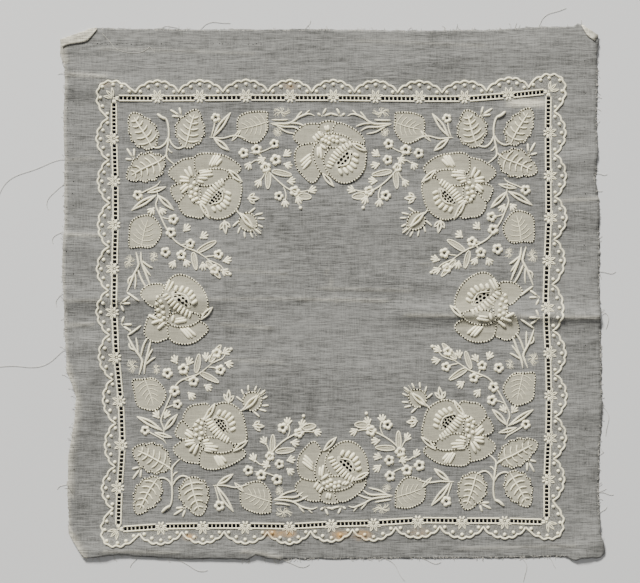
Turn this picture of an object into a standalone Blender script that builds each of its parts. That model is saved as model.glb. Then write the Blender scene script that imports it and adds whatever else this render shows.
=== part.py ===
"""An unfinished lawn handkerchief, laid flat with its raw edges, one corner folded over and its storage creases."""

import math

import bmesh
import bpy
import numpy as np

# Driving sizes, in metres
CLOTH_THICKNESS = 0.0010
SEAM_GAP = 0.0003  # between the cloth and the frayed strip along each raw edge
STRIP_WIDTH = 0.0018
STRIP_THICKNESS = 0.0008
THREAD_WIDTH = 0.0006
THREAD_STEP = 0.0045
FLAP_GAP = 0.0005

# The cloth is a grid of columns and rows stretched between its four sides
COLUMNS = 45
ROWS = 50

# Each side of the raw outline, in millimetres from the middle of the cloth: (along, across).
# Left and right give x at heights y, bottom and top give y at places x.
LEFT_SIDE = (
    (-188.0, -205.3), (-178.0, -205.5), (-158.3, -205.9), (-115.4, -203.3), (-100.0, -201.2), (-82.7, -199.4),
    (-72.0, -203.0), (-60.8, -207.1), (-21.8, -208.7), (21.1, -210.6), (48.4, -209.0), (103.0, -208.3),
    (133.0, -209.4), (165.4, -208.1), (173.6, -208.9), (180.8, -210.8), (187.0, -211.8), (196.6, -212.0),
)
RIGHT_SIDE = (
    (-204.0, 212.5), (-199.0, 212.2), (-194.0, 210.0), (-188.0, 208.2), (-180.0, 208.6), (-152.9, 207.9),
    (-115.4, 209.0), (-92.0, 210.6), (-64.0, 210.1), (-37.4, 209.8), (-10.1, 208.9), (44.5, 208.4),
    (79.6, 206.9), (87.4, 205.3), (96.0, 206.6), (157.6, 207.0), (178.0, 206.7), (188.0, 206.9), (199.8, 207.4),
)
BOTTOM_SIDE = (
    (-205.3, -188.0), (-199.5, -198.4), (-194.3, -207.2), (-187.4, -208.1), (-174.0, -204.9), (-142.0, -206.7),
    (-110.8, -208.3), (-71.8, -209.1), (-59.8, -205.1), (-50.7, -208.5), (-9.4, -209.0), (53.0, -207.9),
    (131.0, -207.5), (177.8, -206.2), (188.8, -210.4), (195.8, -207.1), (206.5, -208.3), (212.5, -204.0),
)
TOP_SIDE = (
    (-212.0, 196.6), (-184.0, 206.4), (-157.6, 205.5), (-106.1, 204.7), (-64.0, 204.9), (-1.6, 205.0),
    (82.7, 204.1), (131.0, 205.1), (160.7, 206.7), (188.0, 208.0), (195.8, 206.9), (207.4, 199.8),
)

# Soft folds left by storage and handling: where each runs, how high it stands and how wide it is, in millimetres
FOLDS = (
    {"name": "middle fold, left part", "start": (-212, -3), "end": (-95, -8), "height": 2.0, "half_width": 9},
    {"name": "middle fold, right part", "start": (52, -15), "end": (212, -19), "height": 2.6, "half_width": 8},
    {"name": "pinch right of the middle", "start": (28, 9), "end": (118, 4), "height": 1.3, "half_width": 9},
    {"name": "left margin, upper wrinkle", "start": (-212, 36), "end": (-176, 35), "height": 1.6, "half_width": 8},
    {"name": "left margin, lower wrinkle", "start": (-211, -43), "end": (-170, -41), "height": 1.5, "half_width": 8},
    {"name": "top left wrinkle", "start": (-209, 161), "end": (-160, 158), "height": 1.8, "half_width": 8},
    {"name": "wave under the scallops, left", "start": (-204, -118), "end": (-188, -62), "height": 2.4, "half_width": 14},
    {"name": "bottom edge roll", "start": (-176, -199), "end": (-44, -205), "height": 2.0, "half_width": 8},
    {"name": "lower field swell", "start": (-60, -62), "end": (70, -66), "height": 1.1, "half_width": 16},
    {"name": "upper field swell", "start": (-70, 66), "end": (60, 62), "height": 1.0, "half_width": 17},
    {"name": "right margin, upper wrinkle", "start": (180, 104), "end": (210, 107), "height": 1.5, "half_width": 8},
    {"name": "right margin, middle wrinkle", "start": (178, 57), "end": (212, 58), "height": 1.3, "half_width": 8},
    {"name": "right margin, lower wrinkle", "start": (176, -94), "end": (213, -92), "height": 1.4, "half_width": 9},
    {"name": "top margin wave", "start": (60, 176), "end": (168, 190), "height": 1.3, "half_width": 11},
    {"name": "lower left corner lift", "start": (-205, -200), "end": (-184, -206), "height": 2.2, "half_width": 13},
    {"name": "lower right corner curl", "start": (196, -206), "end": (213, -188), "height": 2.4, "half_width": 11},
    {"name": "upper right corner curl", "start": (196, 210), "end": (209, 186), "height": 1.8, "half_width": 9},
)
FLAT_BELOW = 0.00012  # the cloth lies on the surface wherever its folds are lower than this

# The upper left corner is folded over, along the first columns of the top side
FLAP_DEPTHS = (0.0042, 0.0115, 0.0102, 0.0030)
FLAP_TURN_STEPS = 4
FLAP_RUN_STEPS = 2

# Threads that have come loose: side, place along it in mm, start heading and bend in degrees, length in mm
LOOSE_THREADS = (
    {"side": "left", "at": 104.0, "heading": -8, "bend": 62, "length": 59},
    {"side": "left", "at": 84.0, "heading": 4, "bend": 95, "length": 24},
    {"side": "left", "at": 47.0, "heading": -20, "bend": 120, "length": 13},
    {"side": "left", "at": 2.0, "heading": 20, "bend": 72, "length": 12},
    {"side": "left", "at": -43.0, "heading": 36, "bend": -46, "length": 56},
    {"side": "left", "at": -150.0, "heading": -10, "bend": 60, "length": 8},
    {"side": "right", "at": 92.0, "heading": -20, "bend": 40, "length": 7},
    {"side": "right", "at": 16.0, "heading": -38, "bend": 60, "length": 11},
    {"side": "right", "at": -16.0, "heading": 10, "bend": -140, "length": 16},
    {"side": "right", "at": -88.0, "heading": -50, "bend": -62, "length": 24},
    {"side": "right", "at": -156.0, "heading": -20, "bend": 12, "length": 10},
    {"side": "right", "at": -173.0, "heading": 18, "bend": 30, "length": 6},
    {"side": "bottom", "at": -152.0, "heading": -22, "bend": -10, "length": 8},
    {"side": "bottom", "at": -122.0, "heading": 36, "bend": 62, "length": 25},
    {"side": "bottom", "at": -38.0, "heading": 30, "bend": 84, "length": 20},
    {"side": "bottom", "at": 40.0, "heading": 52, "bend": -24, "length": 22},
    {"side": "bottom", "at": 69.0, "heading": 34, "bend": 70, "length": 14},
    {"side": "bottom", "at": 147.0, "heading": 44, "bend": -72, "length": 19},
    {"side": "bottom", "at": 168.0, "heading": 44, "bend": -20, "length": 9},
    {"side": "top", "at": -134.0, "heading": -48, "bend": -60, "length": 12},
    {"side": "top", "at": -104.0, "heading": -50, "bend": -52, "length": 24},
    {"side": "top", "at": 160.0, "heading": -30, "bend": -52, "length": 26},
)
THREAD_SWAY = 14  # degrees that a loose thread swings either side of its bend
THREAD_WAVES = 1.2  # swings over its whole length
THREAD_DROP = 0.4  # share of its length after which it lies on the surface

CLOTH_COLOUR = (0.62, 0.62, 0.58, 1.0)
CLOTH_ROUGHNESS = 0.9


def clear_scene():
    for obj in list(bpy.data.objects):
        bpy.data.objects.remove(obj, do_unlink=True)


def cloth_material(name):
    material = bpy.data.materials.new(name)
    material.use_nodes = True
    shader = material.node_tree.nodes["Principled BSDF"]
    shader.inputs["Base Color"].default_value = CLOTH_COLOUR
    shader.inputs["Roughness"].default_value = CLOTH_ROUGHNESS
    shader.inputs["Metallic"].default_value = 0.0
    return material


def lift(x, y):
    """How high the underside of the cloth stands off the surface at a place, all in metres."""
    height = 0.0
    for fold in FOLDS:
        start = np.array(fold["start"]) / 1000
        run = np.array(fold["end"]) / 1000 - start
        share = np.clip(((x - start[0]) * run[0] + (y - start[1]) * run[1]) / (run @ run), 0, 1)
        off = math.hypot(x - start[0] - share * run[0], y - start[1] - share * run[1])
        width = fold["half_width"] / 1000
        height += fold["height"] / 1000 * math.exp(-((off / width) ** 2))
    return max(0.0, height - FLAT_BELOW)


def side_points(table, count, along_first):
    """The points of one side at even places, in metres, before the strip's width is taken off it."""
    rows = np.array(table) / 1000
    places = np.linspace(rows[0, 0], rows[-1, 0], count + 1)
    across = np.interp(places, rows[:, 0], rows[:, 1])
    return np.column_stack([places, across] if along_first else [across, places])


def outlines():
    """The four sides of the raw outline, each running left to right or bottom to top, meeting at the corners."""
    return {
        "left": side_points(LEFT_SIDE, ROWS, False),
        "right": side_points(RIGHT_SIDE, ROWS, False),
        "bottom": side_points(BOTTOM_SIDE, COLUMNS, True),
        "top": side_points(TOP_SIDE, COLUMNS, True),
    }


def outward(side, points):
    """The unit vector out of the cloth at each point of a side."""
    run = np.gradient(points, axis=0)
    run /= np.linalg.norm(run, axis=1)[:, None]
    turn = 1 if side in ("left", "top") else -1
    return turn * np.column_stack([-run[:, 1], run[:, 0]])


def cloth_sides():
    """The cloth's own sides, inside the raw outline by the frayed strip and its gap."""
    inset = STRIP_WIDTH + SEAM_GAP
    sides = {name: points - inset * outward(name, points) for name, points in outlines().items()}
    for first, end, second, other in (
        ("left", 0, "bottom", 0),
        ("left", -1, "top", 0),
        ("right", 0, "bottom", -1),
        ("right", -1, "top", -1),
    ):
        corner = (sides[first][end] + sides[second][other]) / 2
        sides[first][end] = corner
        sides[second][other] = corner
    return sides


def grid_point(sides, column, row):
    """A point of the cloth's grid, blended between its four sides."""
    u = column / COLUMNS
    v = row / ROWS
    between = (
        (1 - v) * sides["bottom"][column]
        + v * sides["top"][column]
        + (1 - u) * sides["left"][row]
        + u * sides["right"][row]
    )
    corners = (
        (1 - u) * (1 - v) * sides["bottom"][0]
        + u * (1 - v) * sides["bottom"][-1]
        + (1 - u) * v * sides["top"][0]
        + u * v * sides["top"][-1]
    )
    return between - corners


def sheet_layer(bm, sides, thickness):
    """The vertices of the underside or, with the thickness added, of the face."""
    layer = {}
    for column in range(COLUMNS + 1):
        for row in range(ROWS + 1):
            x, y = grid_point(sides, column, row)
            layer[column, row] = bm.verts.new((x, y, lift(x, y) + thickness))
    return layer


def cloth_faces(bm, under, over):
    for column in range(COLUMNS):
        for row in range(ROWS):
            corners = ((column, row), (column + 1, row), (column + 1, row + 1), (column, row + 1))
            bm.faces.new([over[c] for c in corners])
            bm.faces.new([under[c] for c in reversed(corners)])


def rim_cells():
    """The grid points round the cloth's edge, counter-clockwise."""
    cells = [(column, 0) for column in range(COLUMNS)]
    cells += [(COLUMNS, row) for row in range(ROWS)]
    cells += [(column, ROWS) for column in range(COLUMNS, 0, -1)]
    cells += [(0, row) for row in range(ROWS, 0, -1)]
    return cells


def flap_place(fold_point, inward, kind, turn, run):
    """Where a folded corner's point lies once it has turned over the fold and run back across the cloth."""
    axis_height = fold_point[2] + CLOTH_THICKNESS + FLAP_GAP / 2
    radius = FLAP_GAP / 2 + (CLOTH_THICKNESS if kind == "under" else 0.0)
    out = radius * math.cos(turn)
    return (
        fold_point[0] - inward[0] * out + inward[0] * run,
        fold_point[1] - inward[1] * out + inward[1] * run,
        axis_height + radius * math.sin(turn),
    )


def fold_corner(bm, walls, under, over):
    """Turns the upper left corner over, from the side walls of the first columns of the top side."""
    count = len(FLAP_DEPTHS) - 1
    base = [np.array(under[column, ROWS].co) for column in range(count + 1)]
    along = base[-1] - base[0]
    inward = np.array([along[1], -along[0]]) / math.hypot(along[0], along[1])
    kinds = {}
    for column in range(count + 1):
        kinds[under[column, ROWS]] = (column, "under")
        kinds[over[column, ROWS]] = (column, "over")
    faces = [walls[column] for column in range(count)]
    turns = [(-math.pi / 2 + math.pi * (step + 1) / FLAP_TURN_STEPS, 0.0) for step in range(FLAP_TURN_STEPS)]
    runs = [(math.pi / 2, (step + 1) / FLAP_RUN_STEPS) for step in range(FLAP_RUN_STEPS)]
    for turn, share in turns + runs:
        before = {(round(v.co.x, 7), round(v.co.y, 7), round(v.co.z, 7)): kind for v, kind in kinds.items()}
        made = bmesh.ops.extrude_face_region(bm, geom=faces)["geom"]
        bmesh.ops.delete(bm, geom=faces, context="FACES_ONLY")
        faces = [item for item in made if isinstance(item, bmesh.types.BMFace)]
        moved = [item for item in made if isinstance(item, bmesh.types.BMVert)]
        kinds = {v: before[round(v.co.x, 7), round(v.co.y, 7), round(v.co.z, 7)] for v in moved}
        for vert, (column, kind) in kinds.items():
            vert.co = flap_place(base[column], inward, kind, turn, share * FLAP_DEPTHS[column])


def make_cloth():
    bm = bmesh.new()
    sides = cloth_sides()
    under = sheet_layer(bm, sides, 0.0)
    over = sheet_layer(bm, sides, CLOTH_THICKNESS)
    cloth_faces(bm, under, over)
    rim = rim_cells()
    top_walls = {}
    for here, there in zip(rim, rim[1:] + rim[:1]):
        wall = bm.faces.new((under[here], under[there], over[there], over[here]))
        if here[1] == ROWS and there[1] == ROWS:
            top_walls[there[0]] = wall
    fold_corner(bm, top_walls, under, over)
    return finish_mesh(bm, "cloth")


def strip_range(side):
    """The first and last grid step that a side's frayed strip covers, clear of the corners."""
    flap_columns = len(FLAP_DEPTHS)
    return {
        "left": (2, ROWS - 2),
        "right": (2, ROWS - 2),
        "bottom": (2, COLUMNS - 2),
        "top": (flap_columns, COLUMNS - 3),
    }[side]


def strip_stations(side, edge, normals, threads):
    """Stations along a strip: its grid points, and two for each loose thread's root."""
    first, last = strip_range(side)
    along = 0 if side in ("bottom", "top") else 1
    stations = [(edge[i], normals[i], None) for i in range(first, last + 1)]
    for thread in threads:
        for shift in (-THREAD_WIDTH / 2, THREAD_WIDTH / 2):
            place = thread["at"] / 1000 + shift
            point = np.array([np.interp(place, edge[:, along], edge[:, k]) for k in range(2)])
            normal = np.array([np.interp(place, edge[:, along], normals[:, k]) for k in range(2)])
            stations.append((point, normal / np.linalg.norm(normal), thread if shift < 0 else None))
    return sorted(stations, key=lambda station: station[0][along])


def strip_ring(bm, point, normal):
    """The four corners of a strip's section, counter-clockwise seen along the side's own direction."""
    near = point + normal * SEAM_GAP
    far = point + normal * (SEAM_GAP + STRIP_WIDTH)
    base = lift(*point)
    ring = []
    for place, height in ((near, base), (far, base), (far, base + STRIP_THICKNESS), (near, base + STRIP_THICKNESS)):
        ring.append(bm.verts.new((place[0], place[1], height)))
    return ring


def thread_route(thread, start, normal, base):
    """The middle of a loose thread: out of its strip, down onto the surface and along it in a slack curve."""
    count = max(3, round(thread["length"] / 1000 / THREAD_STEP))
    step = thread["length"] / 1000 / count
    heading = math.atan2(normal[1], normal[0]) + math.radians(thread["heading"])
    place = np.array(start)
    route = []
    for i in range(1, count + 1):
        share = i / count
        heading += math.radians(thread["bend"]) / count
        sway = math.radians(THREAD_SWAY) * math.sin(2 * math.pi * THREAD_WAVES * share)
        place = place + step * np.array([math.cos(heading + sway), math.sin(heading + sway)])
        height = THREAD_WIDTH / 2 + base * (1 - min(1, share / THREAD_DROP)) ** 2
        route.append((place[0], place[1], height, heading + sway))
    return route


def grow_thread(bm, thread, root, normal, base):
    """Extrudes a loose thread from the small wall of its strip at its root."""
    near_low, far_low, far_high, near_high = root
    start = (near_low.co + far_low.co + far_high.co + near_high.co) / 4
    ring = root
    half = THREAD_WIDTH / 2
    for x, y, height, heading in thread_route(thread, (start.x, start.y), normal, base):
        across = (-math.sin(heading), math.cos(heading))
        section = []
        for side, rise in ((-half, -half), (half, -half), (half, half), (-half, half)):
            section.append(bm.verts.new((x + side * across[0], y + side * across[1], height + rise)))
        for k in range(4):
            bm.faces.new((ring[k], ring[(k + 1) % 4], section[(k + 1) % 4], section[k]))
        ring = section
    bm.faces.new(ring)


def make_strip(side, sides):
    edge = sides[side]
    normals = outward(side, edge)
    threads = [thread for thread in LOOSE_THREADS if thread["side"] == side]
    stations = strip_stations(side, edge, normals, threads)
    bm = bmesh.new()
    rings = [strip_ring(bm, point, normal) for point, normal, _ in stations]
    bm.faces.new(rings[0])
    for (point, normal, thread), ring, following in zip(stations, rings, rings[1:]):
        for k in range(4):
            if thread is None or k != 1:
                bm.faces.new((ring[k], ring[(k + 1) % 4], following[(k + 1) % 4], following[k]))
        if thread is not None:
            toward = np.array(following[1].co[:2]) - np.array(ring[1].co[:2])
            left_hand = normal[0] * toward[1] - normal[1] * toward[0] > 0
            first, second = (ring, following) if left_hand else (following, ring)
            root = (first[1], second[1], second[2], first[2])
            grow_thread(bm, thread, root, normal, lift(*point))
    bm.faces.new(rings[-1])
    return finish_mesh(bm, "frayed_" + side)


def finish_mesh(bm, name):
    bmesh.ops.recalc_face_normals(bm, faces=bm.faces)
    mesh = bpy.data.meshes.new(name)
    bm.to_mesh(mesh)
    bm.free()
    mesh.materials.append(cloth_material(name))
    obj = bpy.data.objects.new(name, mesh)
    bpy.context.scene.collection.objects.link(obj)
    return obj


def main():
    clear_scene()
    make_cloth()
    sides = cloth_sides()
    for side in ("left", "right", "bottom", "top"):
        make_strip(side, sides)


main()
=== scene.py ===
"""Looks of a raw-edged whitework handkerchief: sheer lawn, applied petals and leaves,
satin stitch and openwork."""

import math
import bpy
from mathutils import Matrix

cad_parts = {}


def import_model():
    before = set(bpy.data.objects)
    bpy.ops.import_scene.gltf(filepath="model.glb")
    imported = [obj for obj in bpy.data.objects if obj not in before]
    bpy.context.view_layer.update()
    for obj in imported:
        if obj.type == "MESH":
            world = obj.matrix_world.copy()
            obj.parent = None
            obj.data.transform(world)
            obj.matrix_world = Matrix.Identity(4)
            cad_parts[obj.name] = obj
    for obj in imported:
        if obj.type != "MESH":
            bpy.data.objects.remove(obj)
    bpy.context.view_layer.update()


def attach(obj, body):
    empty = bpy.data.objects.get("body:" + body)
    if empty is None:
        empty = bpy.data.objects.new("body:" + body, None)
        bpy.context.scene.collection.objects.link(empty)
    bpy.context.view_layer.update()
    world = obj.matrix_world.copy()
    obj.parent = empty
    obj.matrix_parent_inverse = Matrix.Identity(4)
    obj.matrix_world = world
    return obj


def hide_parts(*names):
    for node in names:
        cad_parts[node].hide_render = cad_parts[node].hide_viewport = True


bl_info = {
    "name": "Whitework Handkerchief",
    "version": (1, 0, 0),
    "blender": (4, 5, 0),
    "location": "View3D > Sidebar > Whitework",
    "description": "Builds an unfinished embroidered handkerchief around its packed model",
    "category": "Object",
}

from functools import cache

import bpy
import numpy as np
from bpy.props import FloatProperty, FloatVectorProperty, IntProperty, PointerProperty

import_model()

# Where the photograph's pixels lie on the cloth: one pixel, and the pixel over the middle of the cloth
PIXEL = 0.00078
MIDDLE = (332.0, 292.0)
IMAGE_CENTRE = (320.0, 291.5)
IMAGE_WIDTH = 640

SEED = 17
LIGHT_COLOUR = (1.0, 0.97, 0.90)
FLOOR_HEIGHT = -0.0002

# Heights in metres: what a fold has to pass to leave the surface, and the gap that stays under the lawn
LEAST_FOLD = 0.00012
LAWN_GAP = 0.00003
# How high a stitch stays over the lawn's underside at least, and any thread over the surface
STITCH_GAP = 0.00012
THREAD_GAP = 0.00002
# One step by which a cord lies over another, and how far holes stand over what they are pricked in
OVER_STEP = 0.0002
EYE_RISE = 0.0003
NET_RISE = 0.0001
LADDER_RISE = 0.0002
PRICK_RISE = 0.00005
HOLE_DEPTH = 0.0006
RIB_PITCH = 0.0006  # from one stitch across a cord to the next

# The raw outline, in millimetres from the middle: left and right give x at heights y,
# bottom and top give y at places x
LEFT_SIDE = (
    (-188.0, -205.3), (-178.0, -205.5), (-158.3, -205.9), (-130.7, -205.5), (-115.4, -203.3),
    (-100.0, -201.2), (-82.7, -199.4), (-72.0, -203.0), (-60.8, -207.1), (-21.8, -208.7), (21.1, -210.6),
    (48.4, -209.0), (103.0, -208.3), (110.8, -209.0), (133.0, -209.4), (165.4, -208.1), (173.6, -208.9),
    (180.8, -210.5), (187.0, -211.8), (196.6, -212.0),
)
RIGHT_SIDE = (
    (-204.0, 212.5), (-199.0, 212.6), (-194.0, 211.2), (-190.9, 210.1), (-188.0, 208.3), (-184.1, 209.2),
    (-174.7, 208.6), (-152.9, 207.9), (-115.4, 209.0), (-92.0, 210.6), (-60.8, 210.4), (-37.4, 209.8),
    (-17.9, 209.0), (-10.1, 208.9), (32.8, 209.0), (44.5, 208.4), (71.8, 207.9), (79.6, 206.9),
    (87.0, 205.1), (96.0, 206.6), (110.8, 207.0), (157.6, 207.0), (173.2, 207.5), (179.4, 206.6),
    (188.4, 206.5), (193.4, 207.5), (199.8, 207.4),
)
BOTTOM_SIDE = (
    (-205.3, -188.0), (-199.5, -198.4), (-193.9, -207.9), (-188.1, -208.0), (-184.4, -207.3),
    (-175.9, -205.9), (-168.5, -205.1), (-142.3, -206.7), (-110.8, -208.3), (-87.4, -207.9),
    (-66.3, -208.7), (-61.8, -207.1), (-59.4, -204.8), (-55.8, -205.9), (-51.9, -208.3), (-42.3, -209.0),
    (-30.0, -208.7), (-1.6, -208.3), (53.0, -207.9), (84.2, -207.5), (131.0, -207.5), (181.7, -206.3),
    (184.7, -207.3), (189.2, -210.1), (192.2, -207.5), (203.8, -207.2), (206.2, -208.1), (210.7, -206.5),
    (212.5, -204.0),
)
TOP_SIDE = (
    (-212.0, 196.6), (-184.5, 206.2), (-157.6, 205.5), (-106.1, 204.7), (-64.0, 204.9), (-1.6, 205.0),
    (82.7, 204.1), (131.0, 205.1), (160.7, 206.7), (188.3, 207.0), (191.1, 208.9), (194.5, 207.6),
    (207.4, 199.8),
)

# The solids' own folds, then finer creases: start, end, height and half width, in millimetres
FOLDS = (
    ((-212, -3), (-95, -8), 2.0, 9), ((52, -15), (212, -19), 2.6, 8), ((28, 9), (118, 4), 1.3, 9),
    ((-212, 36), (-176, 35), 1.6, 8), ((-211, -43), (-170, -41), 1.5, 8),
    ((-209, 161), (-160, 158), 1.8, 8), ((-204, -118), (-188, -62), 2.4, 14),
    ((-176, -199), (-44, -205), 2.0, 8), ((-60, -62), (70, -66), 1.1, 16), ((-70, 66), (60, 62), 1.0, 17),
    ((180, 104), (210, 107), 1.5, 8), ((178, 57), (212, 58), 1.3, 8), ((176, -94), (213, -92), 1.4, 9),
    ((60, 176), (168, 190), 1.3, 11), ((-205, -200), (-184, -206), 2.2, 13),
    ((196, -206), (213, -188), 2.4, 11), ((196, 210), (209, 186), 1.8, 9),
)
CREASES = (
    ((-208, 170), (-176, 168), 0.85, 1.7), ((-209, 45), (-182, 44), 0.8, 1.6),
    ((-210, -7), (-120, -6), 0.6, 2.0), ((-120, -6), (-20, -5), 0.4, 2.4),
    ((-27, -5.5), (43, -7), 0.6, 1.9), ((-9, 3), (60, 1), 0.5, 1.9), ((58, -18), (209, -20), 0.8, 2.2),
    ((-87, -25), (-48, -28), 0.5, 2.2), ((-4, 17), (3, -8), 0.4, 1.7), ((70, 22), (118, 18), 0.4, 2.2),
    ((-92, 18), (-36, 14), 0.35, 2.4), ((-100, -52), (-40, -55), 0.35, 2.4),
    ((-208, -26), (-186, -25), 0.7, 1.7), ((174, 71), (208, 73), 0.7, 1.7),
    ((170, -19), (210, -20), 0.7, 1.9), ((-70, -202), (-57, -203), 0.9, 2.2),
    ((-57, -203), (-40, -207), 0.9, 2.2), ((-186, 104), (-206, 103), 0.4, 1.8),
    ((96, -30), (168, -34), 0.4, 2.2), ((-178, -202), (-120, -203), 0.6, 2.0),
    ((-180, 190), (-60, 186), 0.3, 2.6), ((20, 196), (120, 192), 0.3, 2.4),
    ((100, -200), (190, -198), 0.4, 2.4), ((-40, 96), (60, 92), 0.3, 2.6),
)

# Both upper corners are turned over: how far, in millimetres, at places from 0 to 1 along the fold
TURNED_CORNERS = (
    {
        "from_left": True,
        "columns": 9,
        "depths": ((0.0, 6.2), (0.13, 5.2), (0.35, 6.6), (0.58, 8.0), (0.73, 7.1), (0.84, 4.8), (1.0, 0.8)),
    },
    {"from_left": False, "columns": 4, "depths": ((0.0, 0.6), (0.5, 4.6), (1.0, 5.2))},
)
FLAP_DROOP = 0.00035

# Where the lawn looks paler, from 0 for single cloth to 1: doubled in a turned corner, and along a crease a
# painted highlight for each millimetre of its height, in that half width
TURNED_SHADE = 0.95
CREASE_HIGHLIGHT = 0.42
CREASE_HIGHLIGHT_WIDTH = 0.0012
# Along the left edge: strength, half width, and the heights y that it runs between
LEFT_EDGE_BANDS = (
    (0.7, 0.0035, 0.178, math.inf), (0.4, 0.0016, -math.inf, math.inf), (0.6, 0.0032, -0.16, -0.055),
)
# The lower left corner's own edge: a place on it, the way across it, strength, half width and where it ends
CORNER_BAND = {
    "place": (-0.2053, -0.188), "across": (0.8671, 0.498), "strength": 0.7, "width": 0.0035,
    "right": -0.19, "top": -0.186,
}
# The raw edge: how unevenly single yarns end, and how far the edge wanders
YARN_ENDS = 0.00022
EDGE_WAVE = 0.0006

# Daisies on the openwork ladder, in pixels of the photograph, from left to right and from top to bottom
DAISIES = {
    "top": (
        (114.0, 98.3), (157.4, 98.5), (199.8, 98.2), (246.0, 97.8), (290.2, 98.0), (333.4, 98.0),
        (375.6, 98.5), (419.3, 99.0), (464.5, 99.0), (508.5, 95.7), (548.6, 91.5),
    ),
    "left": (
        (114.0, 98.3), (114.3, 139.0), (115.6, 181.4), (115.8, 225.0), (114.7, 269.0), (114.4, 312.4),
        (116.8, 357.7), (121.0, 401.3), (122.8, 445.3), (119.7, 488.0), (118.3, 529.3),
    ),
    "right": (
        (548.6, 91.5), (547.9, 132.9), (548.3, 176.0), (548.7, 218.0), (547.0, 260.8), (545.4, 308.0),
        (548.0, 353.3), (549.0, 395.6), (548.4, 438.2), (546.6, 479.5), (546.6, 522.0),
    ),
    "bottom": (
        (118.3, 529.3), (161.0, 526.4), (202.9, 525.7), (245.3, 525.7), (289.5, 526.4), (331.5, 524.0),
        (373.6, 523.0), (417.8, 520.1), (462.0, 520.7), (504.6, 520.7), (546.6, 522.0),
    ),
}
OUTWARD = {"top": (0, -1), "left": (-1, 0), "right": (1, 0), "bottom": (0, 1)}

# Petals of a daisy, in degrees from the way out: long ones over the scallop, short ones with their reach
DAISY_LONG = (-62, -21, 21, 62)
DAISY_SHORT = ((98, 5.6), (-98, 5.6), (152, 5.0), (-152, 5.0))
# Beads in a scallop: offset from its middle, as a share of the scallop, and reach out in pixels
BEADS = ((-0.39, 6.6), (-0.21, 11.2), (0.0, 13.6), (0.21, 11.2), (0.39, 6.6))
BEAD_SIZE = 1.15
# The upper left corner's scallop and beads, in pixels from its daisy, and that daisy's petals in degrees
CORNER_EDGE = (
    (16, -9.8), (11.4, -13.8), (7.2, -14.2), (3, -17.2), (-1.8, -15.8), (-5.6, -17.3), (-9.4, -14.9),
    (-13, -13.6), (-14.4, -9.8), (-17, -5.8), (-15.4, -1.8), (-17.2, 3), (-14.6, 7.2), (-13.8, 11.4),
    (-9.8, 16),
)
CORNER_BEADS = (
    (15.5, -6.6), (8.0, -11.4), (-0.5, -13.4), (-11.2, -11.2), (-13.4, -0.5), (-11.4, 8.0), (-6.6, 15.5),
)
CORNER_LONG = (-135, -100, -170)
CORNER_SHORT = (-12, 18, 72, 102)
CORNERS = (("left", 0, 1, 1), ("right", 0, -1, 1), ("left", 10, 1, -1), ("right", 10, -1, -1))
DAISY_ROOM = 5.2  # pixels that the ladder leaves free on each side of a daisy's middle
SCALLOP_STEPS = 30  # points along one scallop
GROUND_SHADE = -0.85  # below nought: the scallops' own greyer ground

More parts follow.
